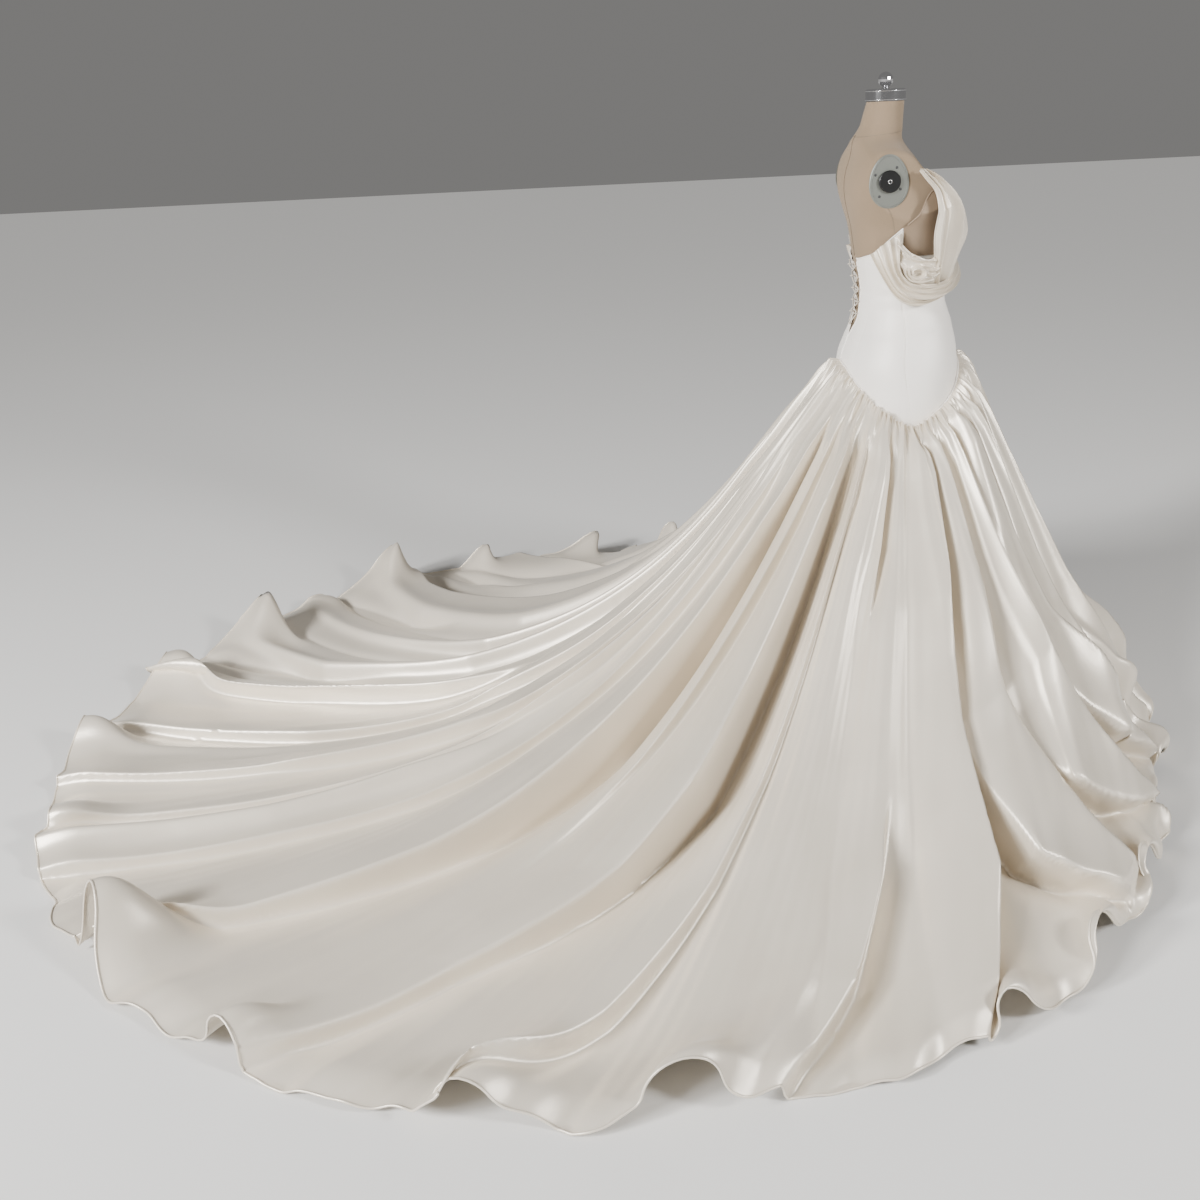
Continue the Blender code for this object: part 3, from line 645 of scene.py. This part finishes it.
def make_lacing():
    """The two runs of the lace, from the top loops through every loop to the knot."""
    knot = form_point(180, KNOT_HEIGHT, 0.0120)
    for first, name in ((1, "lace_a"), (-1, "lace_b")):
        side = first
        away = 0.0030 if first > 0 else -0.0010
        knots = [loop_middle(side, LOOP_HEIGHTS[0]) + np.array((side * 0.004, 0.002, 0.012))]
        for height in LOOP_HEIGHTS:
            for step in (0.004, 0, -0.004):
                knots.append(loop_middle(side, height) + np.array((side * 0.0012 * (step == 0), 0, step)))
            if height != LOOP_HEIGHTS[-1]:
                knots.append(form_point(180, height - CROSSING_DROP, 0.0090 + away))
            side = -side
        knots.append(knot + np.array((side * 0.0062, 0, 0.0035)))
        tube("fine_" + name, smooth_path(knots, 220), LACE_CORD, CORD, [name])


# --- skirt and train -------------------------------------------------------------------------

# angle, distance of the hem from the stand, how fast the skirt falls away from the hips
HEM = np.array([
    (0, 0.60, 1.10), (15, 0.61, 1.10), (30, 0.65, 1.12), (45, 0.68, 1.13), (58, 0.75, 1.15),
    (67, 0.87, 1.20), (79, 0.99, 1.27), (87, 1.12, 1.33), (99, 1.27, 1.48), (112, 1.42, 1.68),
    (122, 1.58, 1.87), (132, 1.73, 2.20), (141, 1.84, 2.50), (151, 1.95, 2.83), (166, 2.07, 3.23),
    (182, 2.10, 3.60), (191, 2.05, 3.60), (199, 1.96, 3.45), (211, 1.84, 3.00), (219, 1.76, 2.67),
    (237, 1.47, 2.01), (250, 1.30, 1.72), (270, 1.12, 1.35), (285, 0.95, 1.25), (300, 0.79, 1.15),
    (330, 0.66, 1.12), (360, 0.60, 1.10),
])
# Folds from the waist to the hem: angle at the waist, a quarter, half and three quarters of the way
# down and at the hem; height near the waist, half way and at the hem; half width on each side.
FOLDS = [
    (14, 12, 12, 13, 14, -0.018, -0.030, -0.015, 0.030, 0.030),
    (22, 20, 19, 20, 22, 0.010, 0.020, 0.020, 0.035, 0.025),
    (32, 30, 30, 30, 31, -0.018, -0.032, -0.020, 0.025, 0.035),
    (40, 38, 37, 37, 38, 0.010, 0.020, 0.020, 0.035, 0.025),
    (56, 57, 60, 62, 61, 0.012, 0.022, 0.020, 0.030, 0.025),
    (68, 71, 77, 78, 75, 0.015, 0.028, 0.020, 0.035, 0.035),
    (86, 89, 91, 88, 85, 0.012, 0.018, 0.000, 0.025, 0.020),
    (102, 104, 104, 103, 102, -0.018, -0.032, 0.000, 0.050, 0.060),
    (108, 109, 108, 107, 107, 0.010, 0.012, 0.000, 0.050, 0.050),
    (113, 114, 113, 112, 112, -0.012, -0.006, -0.010, 0.018, 0.018),
    (118, 119, 119, 119, 119, 0.010, 0.016, 0.010, 0.080, 0.070),
    (142, 143, 144, 146, 148, 0.008, 0.010, 0.002, 0.050, 0.050),
    (164, 166, 164, 165, 168, 0.012, 0.022, 0.020, 0.030, 0.030),
    (173, 175, 172, 173, 176, 0.010, 0.016, 0.014, 0.024, 0.024),
    (179, 180, 177, 178, 181, 0.010, 0.010, 0.012, 0.024, 0.020),
    (183, 185, 184, 187, 191, 0.004, 0.008, 0.030, 0.030, 0.022),
    (186, 188, 187, 190, 195, -0.012, -0.018, -0.006, 0.020, 0.016),
    (189, 191, 190, 194, 201, 0.030, 0.048, 0.026, 0.026, 0.030),
    (192, 194, 193, 198, 205, -0.018, -0.020, -0.004, 0.016, 0.016),
    (195, 197, 196, 202, 209, 0.028, 0.046, 0.008, 0.024, 0.034),
    (200, 201, 200, 206, 212, -0.018, -0.018, -0.004, 0.022, 0.026),
    (205, 205, 205, 210, 218, 0.014, 0.030, 0.036, 0.034, 0.040),
    (211, 211, 212, 216, 223, -0.016, -0.020, -0.008, 0.034, 0.034),
    (217, 217, 219, 222, 228, 0.010, 0.022, 0.018, 0.040, 0.050),
]
# Where the hidden side's folds begin and end, and how far apart they lie, in degrees.
HIDDEN_FOLDS_FROM, HIDDEN_FOLDS_TO, HIDDEN_PITCH = 225, 366, 8.5
# Folds that start part of the way down: share of the way and angle at the start, the middle and the
# end; height; half width on each side.
PART_FOLDS = [
    (0.66, 84, 0.80, 78, 0.98, 72, -0.050, 0.024, 0.030),
    (0.70, 68, 0.85, 61, 0.98, 56, -0.045, 0.022, 0.026),
    (0.45, 62, 0.68, 56, 0.88, 44, 0.040, 0.022, 0.040),
    (0.70, 52, 0.85, 46, 0.98, 41, -0.040, 0.022, 0.026),
    (0.52, 46, 0.72, 40, 0.90, 28, 0.040, 0.022, 0.040),
    (0.55, 28, 0.74, 22, 0.92, 10, 0.035, 0.024, 0.040),
    (0.66, 112, 0.84, 113.5, 1.02, 117, 0.020, 0.040, 0.050),
    (0.45, 164, 0.75, 166, 1.02, 169, 0.032, 0.026, 0.036),
    (0.60, 190, 0.80, 194, 1.02, 197, -0.036, 0.030, 0.024),
    (0.60, 206, 0.80, 209, 1.02, 212, -0.040, 0.034, 0.034),
    (0.60, 221, 0.80, 223, 1.02, 224, -0.034, 0.034, 0.030),
    (0.60, 231, 0.80, 233, 1.02, 234, -0.034, 0.030, 0.034),
    (0.55, 246, 0.80, 248, 1.02, 249, -0.036, 0.030, 0.034),
    (0.55, 262, 0.75, 266, 0.98, 274, 0.040, 0.040, 0.026),
    (0.58, 276, 0.76, 283, 0.96, 292, 0.042, 0.040, 0.026),
    (0.58, 292, 0.76, 300, 0.96, 310, 0.042, 0.040, 0.026),
    (0.56, 310, 0.76, 318, 0.94, 328, 0.040, 0.040, 0.026),
    (0.58, 330, 0.76, 338, 0.94, 348, 0.038, 0.040, 0.026),
]
# Overlapping folds with a crisp lip: share of the way down, angle and height at each knot; how far
# the cloth behind the lip and before it takes to settle. The lip faces the front of the dress.
STEPS = [
    ([(0.02, 131, 0.012), (0.15, 132.5, 0.048), (0.50, 132, 0.078), (0.63, 133.5, 0.046),
      (0.80, 138.5, 0.022), (1.0, 142, 0.016)], 0.11, 0.075),
    ([(0.02, 149, 0.012), (0.15, 150, 0.046), (0.45, 150.5, 0.078), (0.65, 152, 0.042), (0.85, 155, 0.026),
      (1.0, 157.5, 0.018)], 0.11, 0.085),
    ([(0.06, 159.5, 0.004), (0.30, 160.5, 0.014), (0.60, 161.5, 0.016), (1.0, 166, 0.014)], 0.15, 0.130),
    ([(0.06, 165, 0.004), (0.35, 165, 0.012), (0.65, 167, 0.014), (1.0, 171, 0.012)], 0.12, 0.100),
    ([(0.06, 169, 0.004), (0.35, 170, 0.016), (0.70, 173, 0.018), (1.0, 176.5, 0.014)], 0.12, 0.120),
    ([(0.06, 176, 0.004), (0.35, 177, 0.014), (0.70, 180, 0.018), (1.0, 185, 0.014)], 0.12, 0.120),
    ([(0.36, 182, 0.002), (0.52, 184, 0.022), (0.75, 188, 0.036), (1.0, 191.5, 0.030)], 0.05, 0.120),
    ([(0.02, 140, 0.008), (0.15, 141, 0.018), (0.40, 141, 0.014), (0.60, 142, 0.004)], 0.08, 0.060),
    ([(0.02, 123, 0.008), (0.12, 123, 0.018), (0.30, 123, 0.012), (0.65, 124, 0.016), (0.85, 126.5, 0.024),
      (1.0, 130, 0.020)], 0.10, 0.090),
    ([(0.02, 113, 0.008), (0.10, 113, 0.024), (0.20, 112.5, 0.022), (0.30, 112, 0.004)], 0.05, 0.040),
    ([(0.54, 106.5, 0.001), (0.68, 108, 0.030), (0.85, 110, 0.038), (1.0, 113, 0.012)], 0.07, 0.070),
    ([(0.01, 94, 0.012), (0.10, 95, 0.034), (0.30, 98, 0.058), (0.50, 99, 0.066), (0.75, 97.5, 0.066),
      (0.92, 98, 0.034), (1.0, 98.5, 0.008)], 0.10, 0.060),
    ([(0.01, 84, 0.010), (0.10, 85, 0.026), (0.50, 88, 0.042), (0.70, 84, 0.050), (0.92, 78, 0.040)],
     0.06, 0.050),
    ([(0.01, 75, 0.010), (0.10, 76, 0.026), (0.50, 76, 0.042), (0.75, 70, 0.046), (0.95, 62, 0.030)],
     0.06, 0.050),
    ([(0.01, 64, 0.010), (0.10, 65, 0.024), (0.50, 64, 0.040), (0.75, 58, 0.042), (0.95, 48, 0.026)],
     0.06, 0.050),
    ([(0.01, 53, 0.010), (0.10, 53, 0.022), (0.50, 52, 0.036), (0.75, 47, 0.038), (0.95, 38, 0.024)],
     0.05, 0.045),
    ([(0.01, 40, 0.010), (0.10, 40, 0.020), (0.50, 39, 0.034), (0.75, 34, 0.036), (0.95, 26, 0.022)],
     0.05, 0.045),
    ([(0.01, 27, 0.010), (0.10, 27, 0.018), (0.50, 26, 0.032), (0.75, 22, 0.034), (0.95, 16, 0.022)],
     0.05, 0.045),
]
# The same on the side that shows, with the lip toward the back of the dress.
BACK_STEPS = [
    ([(0.22, 94.5, 0.004), (0.40, 95, 0.030), (0.60, 92, 0.050), (0.76, 88, 0.060), (0.90, 81, 0.036),
      (0.96, 78, 0.010)], 0.050, 0.030),
    ([(0.34, 85, 0.004), (0.55, 84, 0.030), (0.70, 79, 0.050), (0.84, 69, 0.040), (0.93, 60, 0.010)],
     0.060, 0.030),
    ([(0.40, 70, 0.004), (0.58, 68, 0.026), (0.74, 62, 0.042), (0.88, 52, 0.030), (0.94, 47, 0.008)],
     0.055, 0.030),
]
# Angles at the waist of the overlapping folds on the hidden side.
HIDDEN_STEPS = (212, 224, 238, 251, 263, 274, 285, 296, 308, 320, 333, 346)
# Arches along the hem: angle, height, half width, share of the skirt they run back over, how far they
# lean toward larger angles, and how far the hem draws in under them.
ARCHES = [
    (8, 0.050, 0.040, 0.12, 0.2, 0.03), (22, 0.070, 0.042, 0.15, 0.3, 0.05),
    (40, 0.085, 0.045, 0.12, 0.5, 0.07), (55, 0.095, 0.048, 0.12, 0.5, 0.08),
    (71, 0.110, 0.052, 0.11, 0.6, 0.09), (84, 0.105, 0.050, 0.10, 0.6, 0.09),
    (95, 0.085, 0.040, 0.10, 0.5, 0.06), (118, 0.060, 0.070, 0.08, 0.3, 0.03),
    (128.5, 0.085, 0.050, 0.08, 0.6, 0.04), (143, 0.060, 0.036, 0.06, 0.4, 0.03),
    (155, 0.150, 0.050, 0.08, 0.5, 0.06),
    (171, 0.050, 0.050, 0.06, -0.4, 0.02), (181, 0.065, 0.040, 0.06, 0.6, 0.03),
    (190, 0.090, 0.024, 0.08, 1.1, 0.04), (200, 0.105, 0.024, 0.08, 1.1, 0.04),
    (210, 0.030, 0.040, 0.06, 0.2, 0.01), (216.5, 0.115, 0.042, 0.07, 0.7, 0.03),
    (227, 0.060, 0.022, 0.06, 0.9, 0.02), (239, 0.085, 0.026, 0.07, 1.0, 0.02),
    (251, 0.085, 0.030, 0.09, 0.4, 0.03), (265, 0.080, 0.045, 0.13, -0.5, 0.05),
    (279, 0.085, 0.045, 0.16, -0.5, 0.06), (295, 0.085, 0.045, 0.17, -0.5, 0.07),
    (313, 0.080, 0.042, 0.17, -0.5, 0.06), (331, 0.070, 0.042, 0.16, -0.4, 0.05),
    (348, 0.055, 0.040, 0.13, -0.2, 0.04),
]
FLOOR_Z = 0.0035
LOWEST = 0.0026  # the cloth's middle where it lies flat on the floor
GATHERS = 176
GATHER_HEIGHT = 0.0185
WAIST_RADIUS = 0.165
# Long narrow folds that run on from some of the gathers: angle, height, length.
LONG_GATHERS = (
    (6, 0.014, 0.40), (19, 0.018, 0.55), (31, 0.014, 0.35), (44, 0.018, 0.60), (58, 0.014, 0.45),
    (69, 0.020, 0.50), (79.5, 0.016, 0.70), (89, 0.020, 0.40), (97.5, 0.018, 0.55),
    (104.5, 0.022, 0.60), (109, 0.012, 0.25), (117, 0.016, 0.60), (122, 0.010, 0.35),
    (127, 0.014, 0.30), (136, 0.012, 0.45), (144.5, 0.016, 0.60), (154, 0.012, 0.50),
    (163, 0.016, 0.80), (172, 0.012, 0.50), (181, 0.012, 0.60), (193, 0.014, 0.50), (204, 0.012, 0.60),
    (216, 0.016, 0.45), (229, 0.014, 0.60), (241, 0.018, 0.40), (253, 0.014, 0.55), (262, 0.018, 0.50),
    (272, 0.016, 0.60), (281, 0.020, 0.40), (292, 0.014, 0.55), (301, 0.018, 0.45), (313, 0.014, 0.60),
    (326, 0.018, 0.40), (338, 0.014, 0.50), (350, 0.016, 0.45),
)


def turned_from(angle, where):
    """The turn between two angles in radians, the short way round."""
    return np.radians((angle - where + 180) % 360 - 180)


def skirt_base(angle, down):
    """The skirt without folds. down runs from 0 at the bodice to 1 at the hem."""
    turn = np.radians(angle)
    reach = np.interp(angle % 360, HEM[:, 0], HEM[:, 1])
    power = np.interp(angle % 360, HEM[:, 0], HEM[:, 2])
    start = form_point(angle, basque(angle) - 0.0006, 0.0030)
    end = np.stack([-np.sin(turn) * reach, -np.cos(turn) * reach, 0 * reach], axis=-1)
    point = start * (1 - down[..., None]) + end * down[..., None]
    point[..., 2] = FLOOR_Z + (start[..., 2] - FLOOR_Z) * (1 - down) ** power
    return point


def hidden_folds():
    """Folds on the side that isn't shown, uneven like the ones that are."""
    made = []
    angle, ridge = HIDDEN_FOLDS_FROM, False
    while angle < HIDDEN_FOLDS_TO:
        size = rng.uniform(0.6, 1.1) * (0.026 if ridge else -0.040)
        drift = rng.uniform(-3, 3, 4).cumsum() * 0.5
        wide = rng.uniform(0.024, 0.042, 2)
        hem = size * rng.uniform(0.3, 0.8)
        made.append((angle, *(angle + drift), size * 0.5, size, hem, *wide))
        angle, ridge = angle + HIDDEN_PITCH * rng.uniform(0.7, 1.2), not ridge
    return made


def hidden_steps():
    """Overlapping folds on the side that isn't shown, with the lip toward the front there too."""
    made = []
    for angle in HIDDEN_STEPS:
        drift = rng.uniform(-2, 2, 3)
        size = rng.uniform(0.030, 0.050)
        knots = [(0.01, angle, 0.010), (0.12, angle + drift[0], 0.6 * size), (0.50, angle + drift[1], size),
                 (0.75, angle + drift[1] + 3, size), (0.97, angle + drift[2] + 7, 0.6 * size)]
        made.append((knots, rng.uniform(0.05, 0.09), rng.uniform(0.045, 0.07)))
    return made


def step_relief(angle, down, radius):
    """Rise and sideways shift of the overlapping folds."""
    rise, slide = 0 * angle, 0 * angle
    for sign, folds in ((1, STEPS), (-1, BACK_STEPS + hidden_steps())):
        for knots, behind, before in folds:
            share, places, heights = np.array(knots).T
            away = sign * turned_from(angle, np.interp(down, share, places)) * radius
            last = 1.5 if share[-1] == 1.0 else share[-1] + 0.05
            begun = smooth_step((down - share[0]) / (0.05 + 0.25 * share[0]))
            size = np.interp(down, share, heights) * begun * smooth_step((last - down) / 0.08)
            scale = np.minimum(1, 0.25 + 1.6 * down)
            lip = 0.013 * np.minimum(1, 0.25 + radius) + 0.30 * size
            up = smooth_step(away / lip + 1)
            hump = np.exp(-((np.maximum(away, 0) / (behind * scale)) ** 1.3))
            hollow = np.exp(-((np.maximum(-away - lip, 0) / (before * scale)) ** 1.2))
            rise += size * (up * hump - 1.05 * (1 - up) * hollow)
            slide -= sign * 0.70 * size * up * np.exp(-((away / (0.6 * size + 0.008)) ** 2))
    return rise, slide


def gather_relief(angle, slope_length):
    """Close uneven gathers under the bodice that run out down the skirt."""
    relief = 0 * angle
    places = (np.arange(GATHERS) + rng.uniform(-0.38, 0.38, GATHERS)) * 360 / GATHERS
    sizes = rng.uniform(0.35, 1.0, GATHERS) ** 1.2
    reaches = 0.025 + 0.26 * rng.uniform(0, 1, GATHERS) ** 3
    drifts = rng.uniform(-2.2, 2.2, GATHERS)
    for place, size, reach in LONG_GATHERS:
        away = turned_from(angle, place) * (WAIST_RADIUS + 0.5 * slope_length)
        width = 0.006 + 0.040 * slope_length
        fade = np.exp(-((slope_length / reach) ** 2.5)) * smooth_step(slope_length / 0.05)
        relief += size * np.minimum(1, 0.3 + 1.5 * slope_length) * fade * bump(away, 0.7 * width, 1.5 * width)
    for place, size, reach, drift in zip(places, sizes, reaches, drifts):
        away = turned_from(angle, place + drift * slope_length / 0.3) * WAIST_RADIUS
        width = 0.0023 + 0.034 * slope_length
        fade = np.exp(-((slope_length / reach) ** 1.5)) * smooth_step(slope_length / 0.006 + 0.35)
        height = GATHER_HEIGHT * size * (1 + 1.5 * slope_length) * fade
        relief += np.where(np.abs(away) < 4 * width, height * bump(away, width), 0)
    return relief


FOLD_SHARES = (0, 0.25, 0.5, 0.75, 1.0)
ALL_FOLDS = FOLDS + hidden_folds()


def one_fold(away, size, low, high, valley, lean):
    """Rise and sideways shift of a fold: a soft ridge that leans to its steep side, or a sharp valley."""
    if valley:
        return size * crease(away, low, high), 0
    rise = size * bump(away, low, high)
    return rise, np.sign(low - high) * lean * np.maximum(rise, 0)


def fold_relief(angle, down, radius):
    """Rise and sideways shift of the long folds and of those that start part of the way down."""
    rise, slide = 0 * angle, 0 * angle
    for *places, waist, middle, hem, low, high in ALL_FOLDS:
        away = turned_from(angle, np.interp(down, FOLD_SHARES, places)) * radius
        size = np.interp(down, (0.0, 0.10, 0.5, 1.0), (0.0, waist, middle, hem))
        wide = 0.30 + 1.40 * np.minimum(down, 0.5)
        up, aside = one_fold(away, size, low * wide, high * wide, middle < 0, 0.45)
        rise += up
        slide += aside
    for t0, a0, t1, a1, t2, a2, size, low, high in PART_FOLDS:
        away = turned_from(angle, np.interp(down, (t0, t1, t2), (a0, a1, a2))) * radius
        ends = smooth_step((down - t0) / 0.16) * (1 if t2 > 1 else smooth_step((t2 - down) / 0.12))
        up, aside = one_fold(away, size * ends, low, high, size < 0, 0.35)
        rise += up
        slide += aside
    return rise, slide


def arch_relief(angle, down, radius):
    """Rise and sideways shift of the hem's arches, and how far the hem moves out."""
    rise, slide, out = 0 * angle, 0 * angle, 0 * angle
    for where, size, width, back, lean, pulled in ARCHES:
        away = turned_from(angle, where) * radius
        grow = smooth_step((down - 1 + 2.2 * back) / (2.2 * back)) ** 1.6
        shape = np.exp(-((np.abs(away) / width) ** 1.6))
        rise += size * grow * shape
        out -= pulled * grow * (shape - 0.35 * bump(away, 2.2 * width))
        side = np.clip(away / width, -1.6, 1.6)
        slide += grow * (lean * size * shape + 0.30 * width * np.sin(np.pi * side / 0.8) * np.exp(-(side**2)))
    return rise, slide, out


def skirt_directions(angle, down):
    """Unit directions out of the plain skirt and around it."""
    ahead = skirt_base(angle + 0.5, down) - skirt_base(angle - 0.5, down)
    below = skirt_base(angle, np.minimum(down + 0.004, 1)) - skirt_base(angle, np.maximum(down - 0.004, 0))
    normal = np.cross(below, ahead)
    normal /= np.linalg.norm(normal, axis=-1, keepdims=True)
    normal *= np.sign(normal[..., 2:] + 1e-9)
    return normal, ahead / np.linalg.norm(ahead, axis=-1, keepdims=True)


def skirt_surface(angle, down):
    """The draped skirt on a rows x columns grid of angles and shares of the way down."""
    point = skirt_base(angle, down)
    normal, ahead = skirt_directions(angle, down)
    radius = np.hypot(point[..., 0], point[..., 1])
    slope_length = np.linalg.norm(point - skirt_base(angle, 0 * down), axis=-1)
    rise = 0.022 * (1 - np.exp(-down / 0.025)) * np.exp(-down / 0.30)
    slide = 0 * rise
    for relief in (fold_relief, step_relief):
        up, aside = relief(angle, down, radius)
        rise += up
        slide += aside
    up, aside, out = arch_relief(angle, down, radius)
    rise += up + gather_relief(angle, slope_length)
    slide += aside
    around = np.radians(angle) * (0.35 + 0.65 * np.interp(angle % 360, HEM[:, 0], HEM[:, 1]))
    slack = smooth_step(down / 0.15)
    rise += 0.0040 * slack * ripple(around, slope_length, 7, ((0.22, 0.60), (1.2, 3.0)), 21)
    rise += 0.0007 * slack * ripple(around, slope_length, 8, ((0.05, 0.14), (0.5, 1.6)), 22)
    # The cloth stands a little off the floor and turns down to it in a round edge at the hem.
    rise += 0.018 * smooth_step((down - 0.45) / 0.3) * np.sqrt(1 - 0.98 * smooth_step((down - 0.955) / 0.045))
    edge = smooth_step((down - 0.86) / 0.14)
    rise += 0.006 * edge * (1 + ripple(around, slope_length, 7, ((0.10, 0.30), (2.0, 4.0)), 23))
    out += 0.010 * edge * ripple(around, 0 * around, 7, ((0.12, 0.5), (1.0, 2.0)), 24)
    point += normal * rise[..., None] + ahead * slide[..., None]
    point[..., :2] *= (1 + out / np.maximum(radius, 0.3))[..., None]
    point[..., 2] = np.maximum(point[..., 2], LOWEST)
    return point


COLUMN_WIDTH, ROWS = 0.0067, 215
# Angles where one gore is sewn to the next.
GORE_EDGES = (-10, 34, 70, 92, 110, 132, 156, 182, 206, 232, 264, 306, 350)


def gore_columns(start, end):
    """How many columns of the grid a gore between two angles takes."""
    reach = np.interp(np.linspace(start, end, 20) % 360, HEM[:, 0], HEM[:, 1]).mean()
    return int((reach + 0.25) * np.radians(end - start) / (COLUMN_WIDTH / FINE))


def make_skirt():
    share = np.linspace(0, 1, int(ROWS * FINE))
    down = share - 0.62 * np.sin(2 * np.pi * share) / (2 * np.pi)  # closer rows at the waist and the hem
    gores = [(start, end, gore_columns(start, end)) for start, end in zip(GORE_EDGES, GORE_EDGES[1:])]
    angles = [np.linspace(start, end, count, endpoint=False) for start, end, count in gores]
    angles = np.concatenate([*angles, GORE_EDGES[-1:]])
    whole = skirt_surface(*np.meshgrid(angles, down))
    whole[:, -1] = whole[:, 0]
    begin = 0
    for number, (_, _, count) in enumerate(gores, 1):
        points = whole[:, begin : begin + count + 1]
        piece = grid_object(f"fine_gore_{number:02d}", points, SATIN, [f"gore_{number:02d}"])
        begin += count
    tube("hem_binding", whole[-1, :-1], 0.0046, SATIN, closed=True, round_steps=2)


# --- stage -----------------------------------------------------------------------------------


# Name, kind, place, point it looks at, size (a sun's angle) and power.
LIGHTS = (
    ("key", "AREA", (-2.9, 5.0, 2.7), (0, 0.7, 0.3), 1.1, 380),
    ("front", "AREA", (-3.4, -3.0, 2.9), (0, 0, 0.9), 1.0, 230),
    ("even", "SUN", (-3.4, 5.0, 3.3), (0, 0, 0), 0.22, 2.5),
)


def make_light(name, kind, place, aim, size, power):
    lamp = bpy.data.lights.new(name, kind)
    lamp.energy = power
    if kind == "AREA":
        lamp.shape = "DISK"
        lamp.size = size
    else:
        lamp.angle = size
    made = bpy.data.objects.new(name, lamp)
    made.location = place
    made.rotation_mode = "QUATERNION"
    made.rotation_quaternion = (Vector(aim) - Vector(place)).to_track_quat("-Z", "Y")
    bpy.context.scene.collection.objects.link(made)
    return made


def make_stage():
    bpy.ops.mesh.primitive_plane_add(size=40, location=(0, 0, -0.001))
    floor = bpy.context.object
    floor.name = "floor"
    floor.data.materials.append(FLOOR)
    world = bpy.data.worlds.new("studio")
    bpy.context.scene.world = world
    world.use_nodes = True
    background = world.node_tree.nodes["Background"]
    background.inputs["Color"].default_value = (0.97, 0.955, 0.93, 1)
    background.inputs["Strength"].default_value = 0.20
    lights = [make_light(*row) for row in LIGHTS]


def make_camera():
    """Behind the wearer's right side, at the height of the form's neck, tipped down to the train."""
    heading, tip, roll = np.radians(4.0), np.radians(14.6), np.radians(-2.5)
    distance, beside, height = 3.04, 0.7065, 1.60
    flat = np.array([np.cos(heading), -np.sin(heading), 0])
    across = np.array([-np.sin(heading), -np.cos(heading), 0])
    up = np.array([0, 0, 1.0])
    forward = np.cos(tip) * flat - np.sin(tip) * up
    above = np.cos(tip) * up + np.sin(tip) * flat
    right = np.cos(roll) * across + np.sin(roll) * above
    above = np.cos(roll) * above - np.sin(roll) * across
    place = -(distance * flat + beside * across) + height * up
    lens = bpy.data.cameras.new("camera")
    lens.lens = 37.5
    lens.sensor_width = 36
    lens.shift_y = -0.15
    made = bpy.data.objects.new("camera", lens)
    turn = Matrix((right, above, -forward)).transposed()
    made.matrix_world = Matrix.Translation(place) @ turn.to_4x4()
    bpy.context.scene.collection.objects.link(made)
    bpy.context.scene.camera = made


make_form()
make_metal_trim()
make_bodice()
make_drape()
make_lacing()
make_skirt()
make_stage()
make_camera()
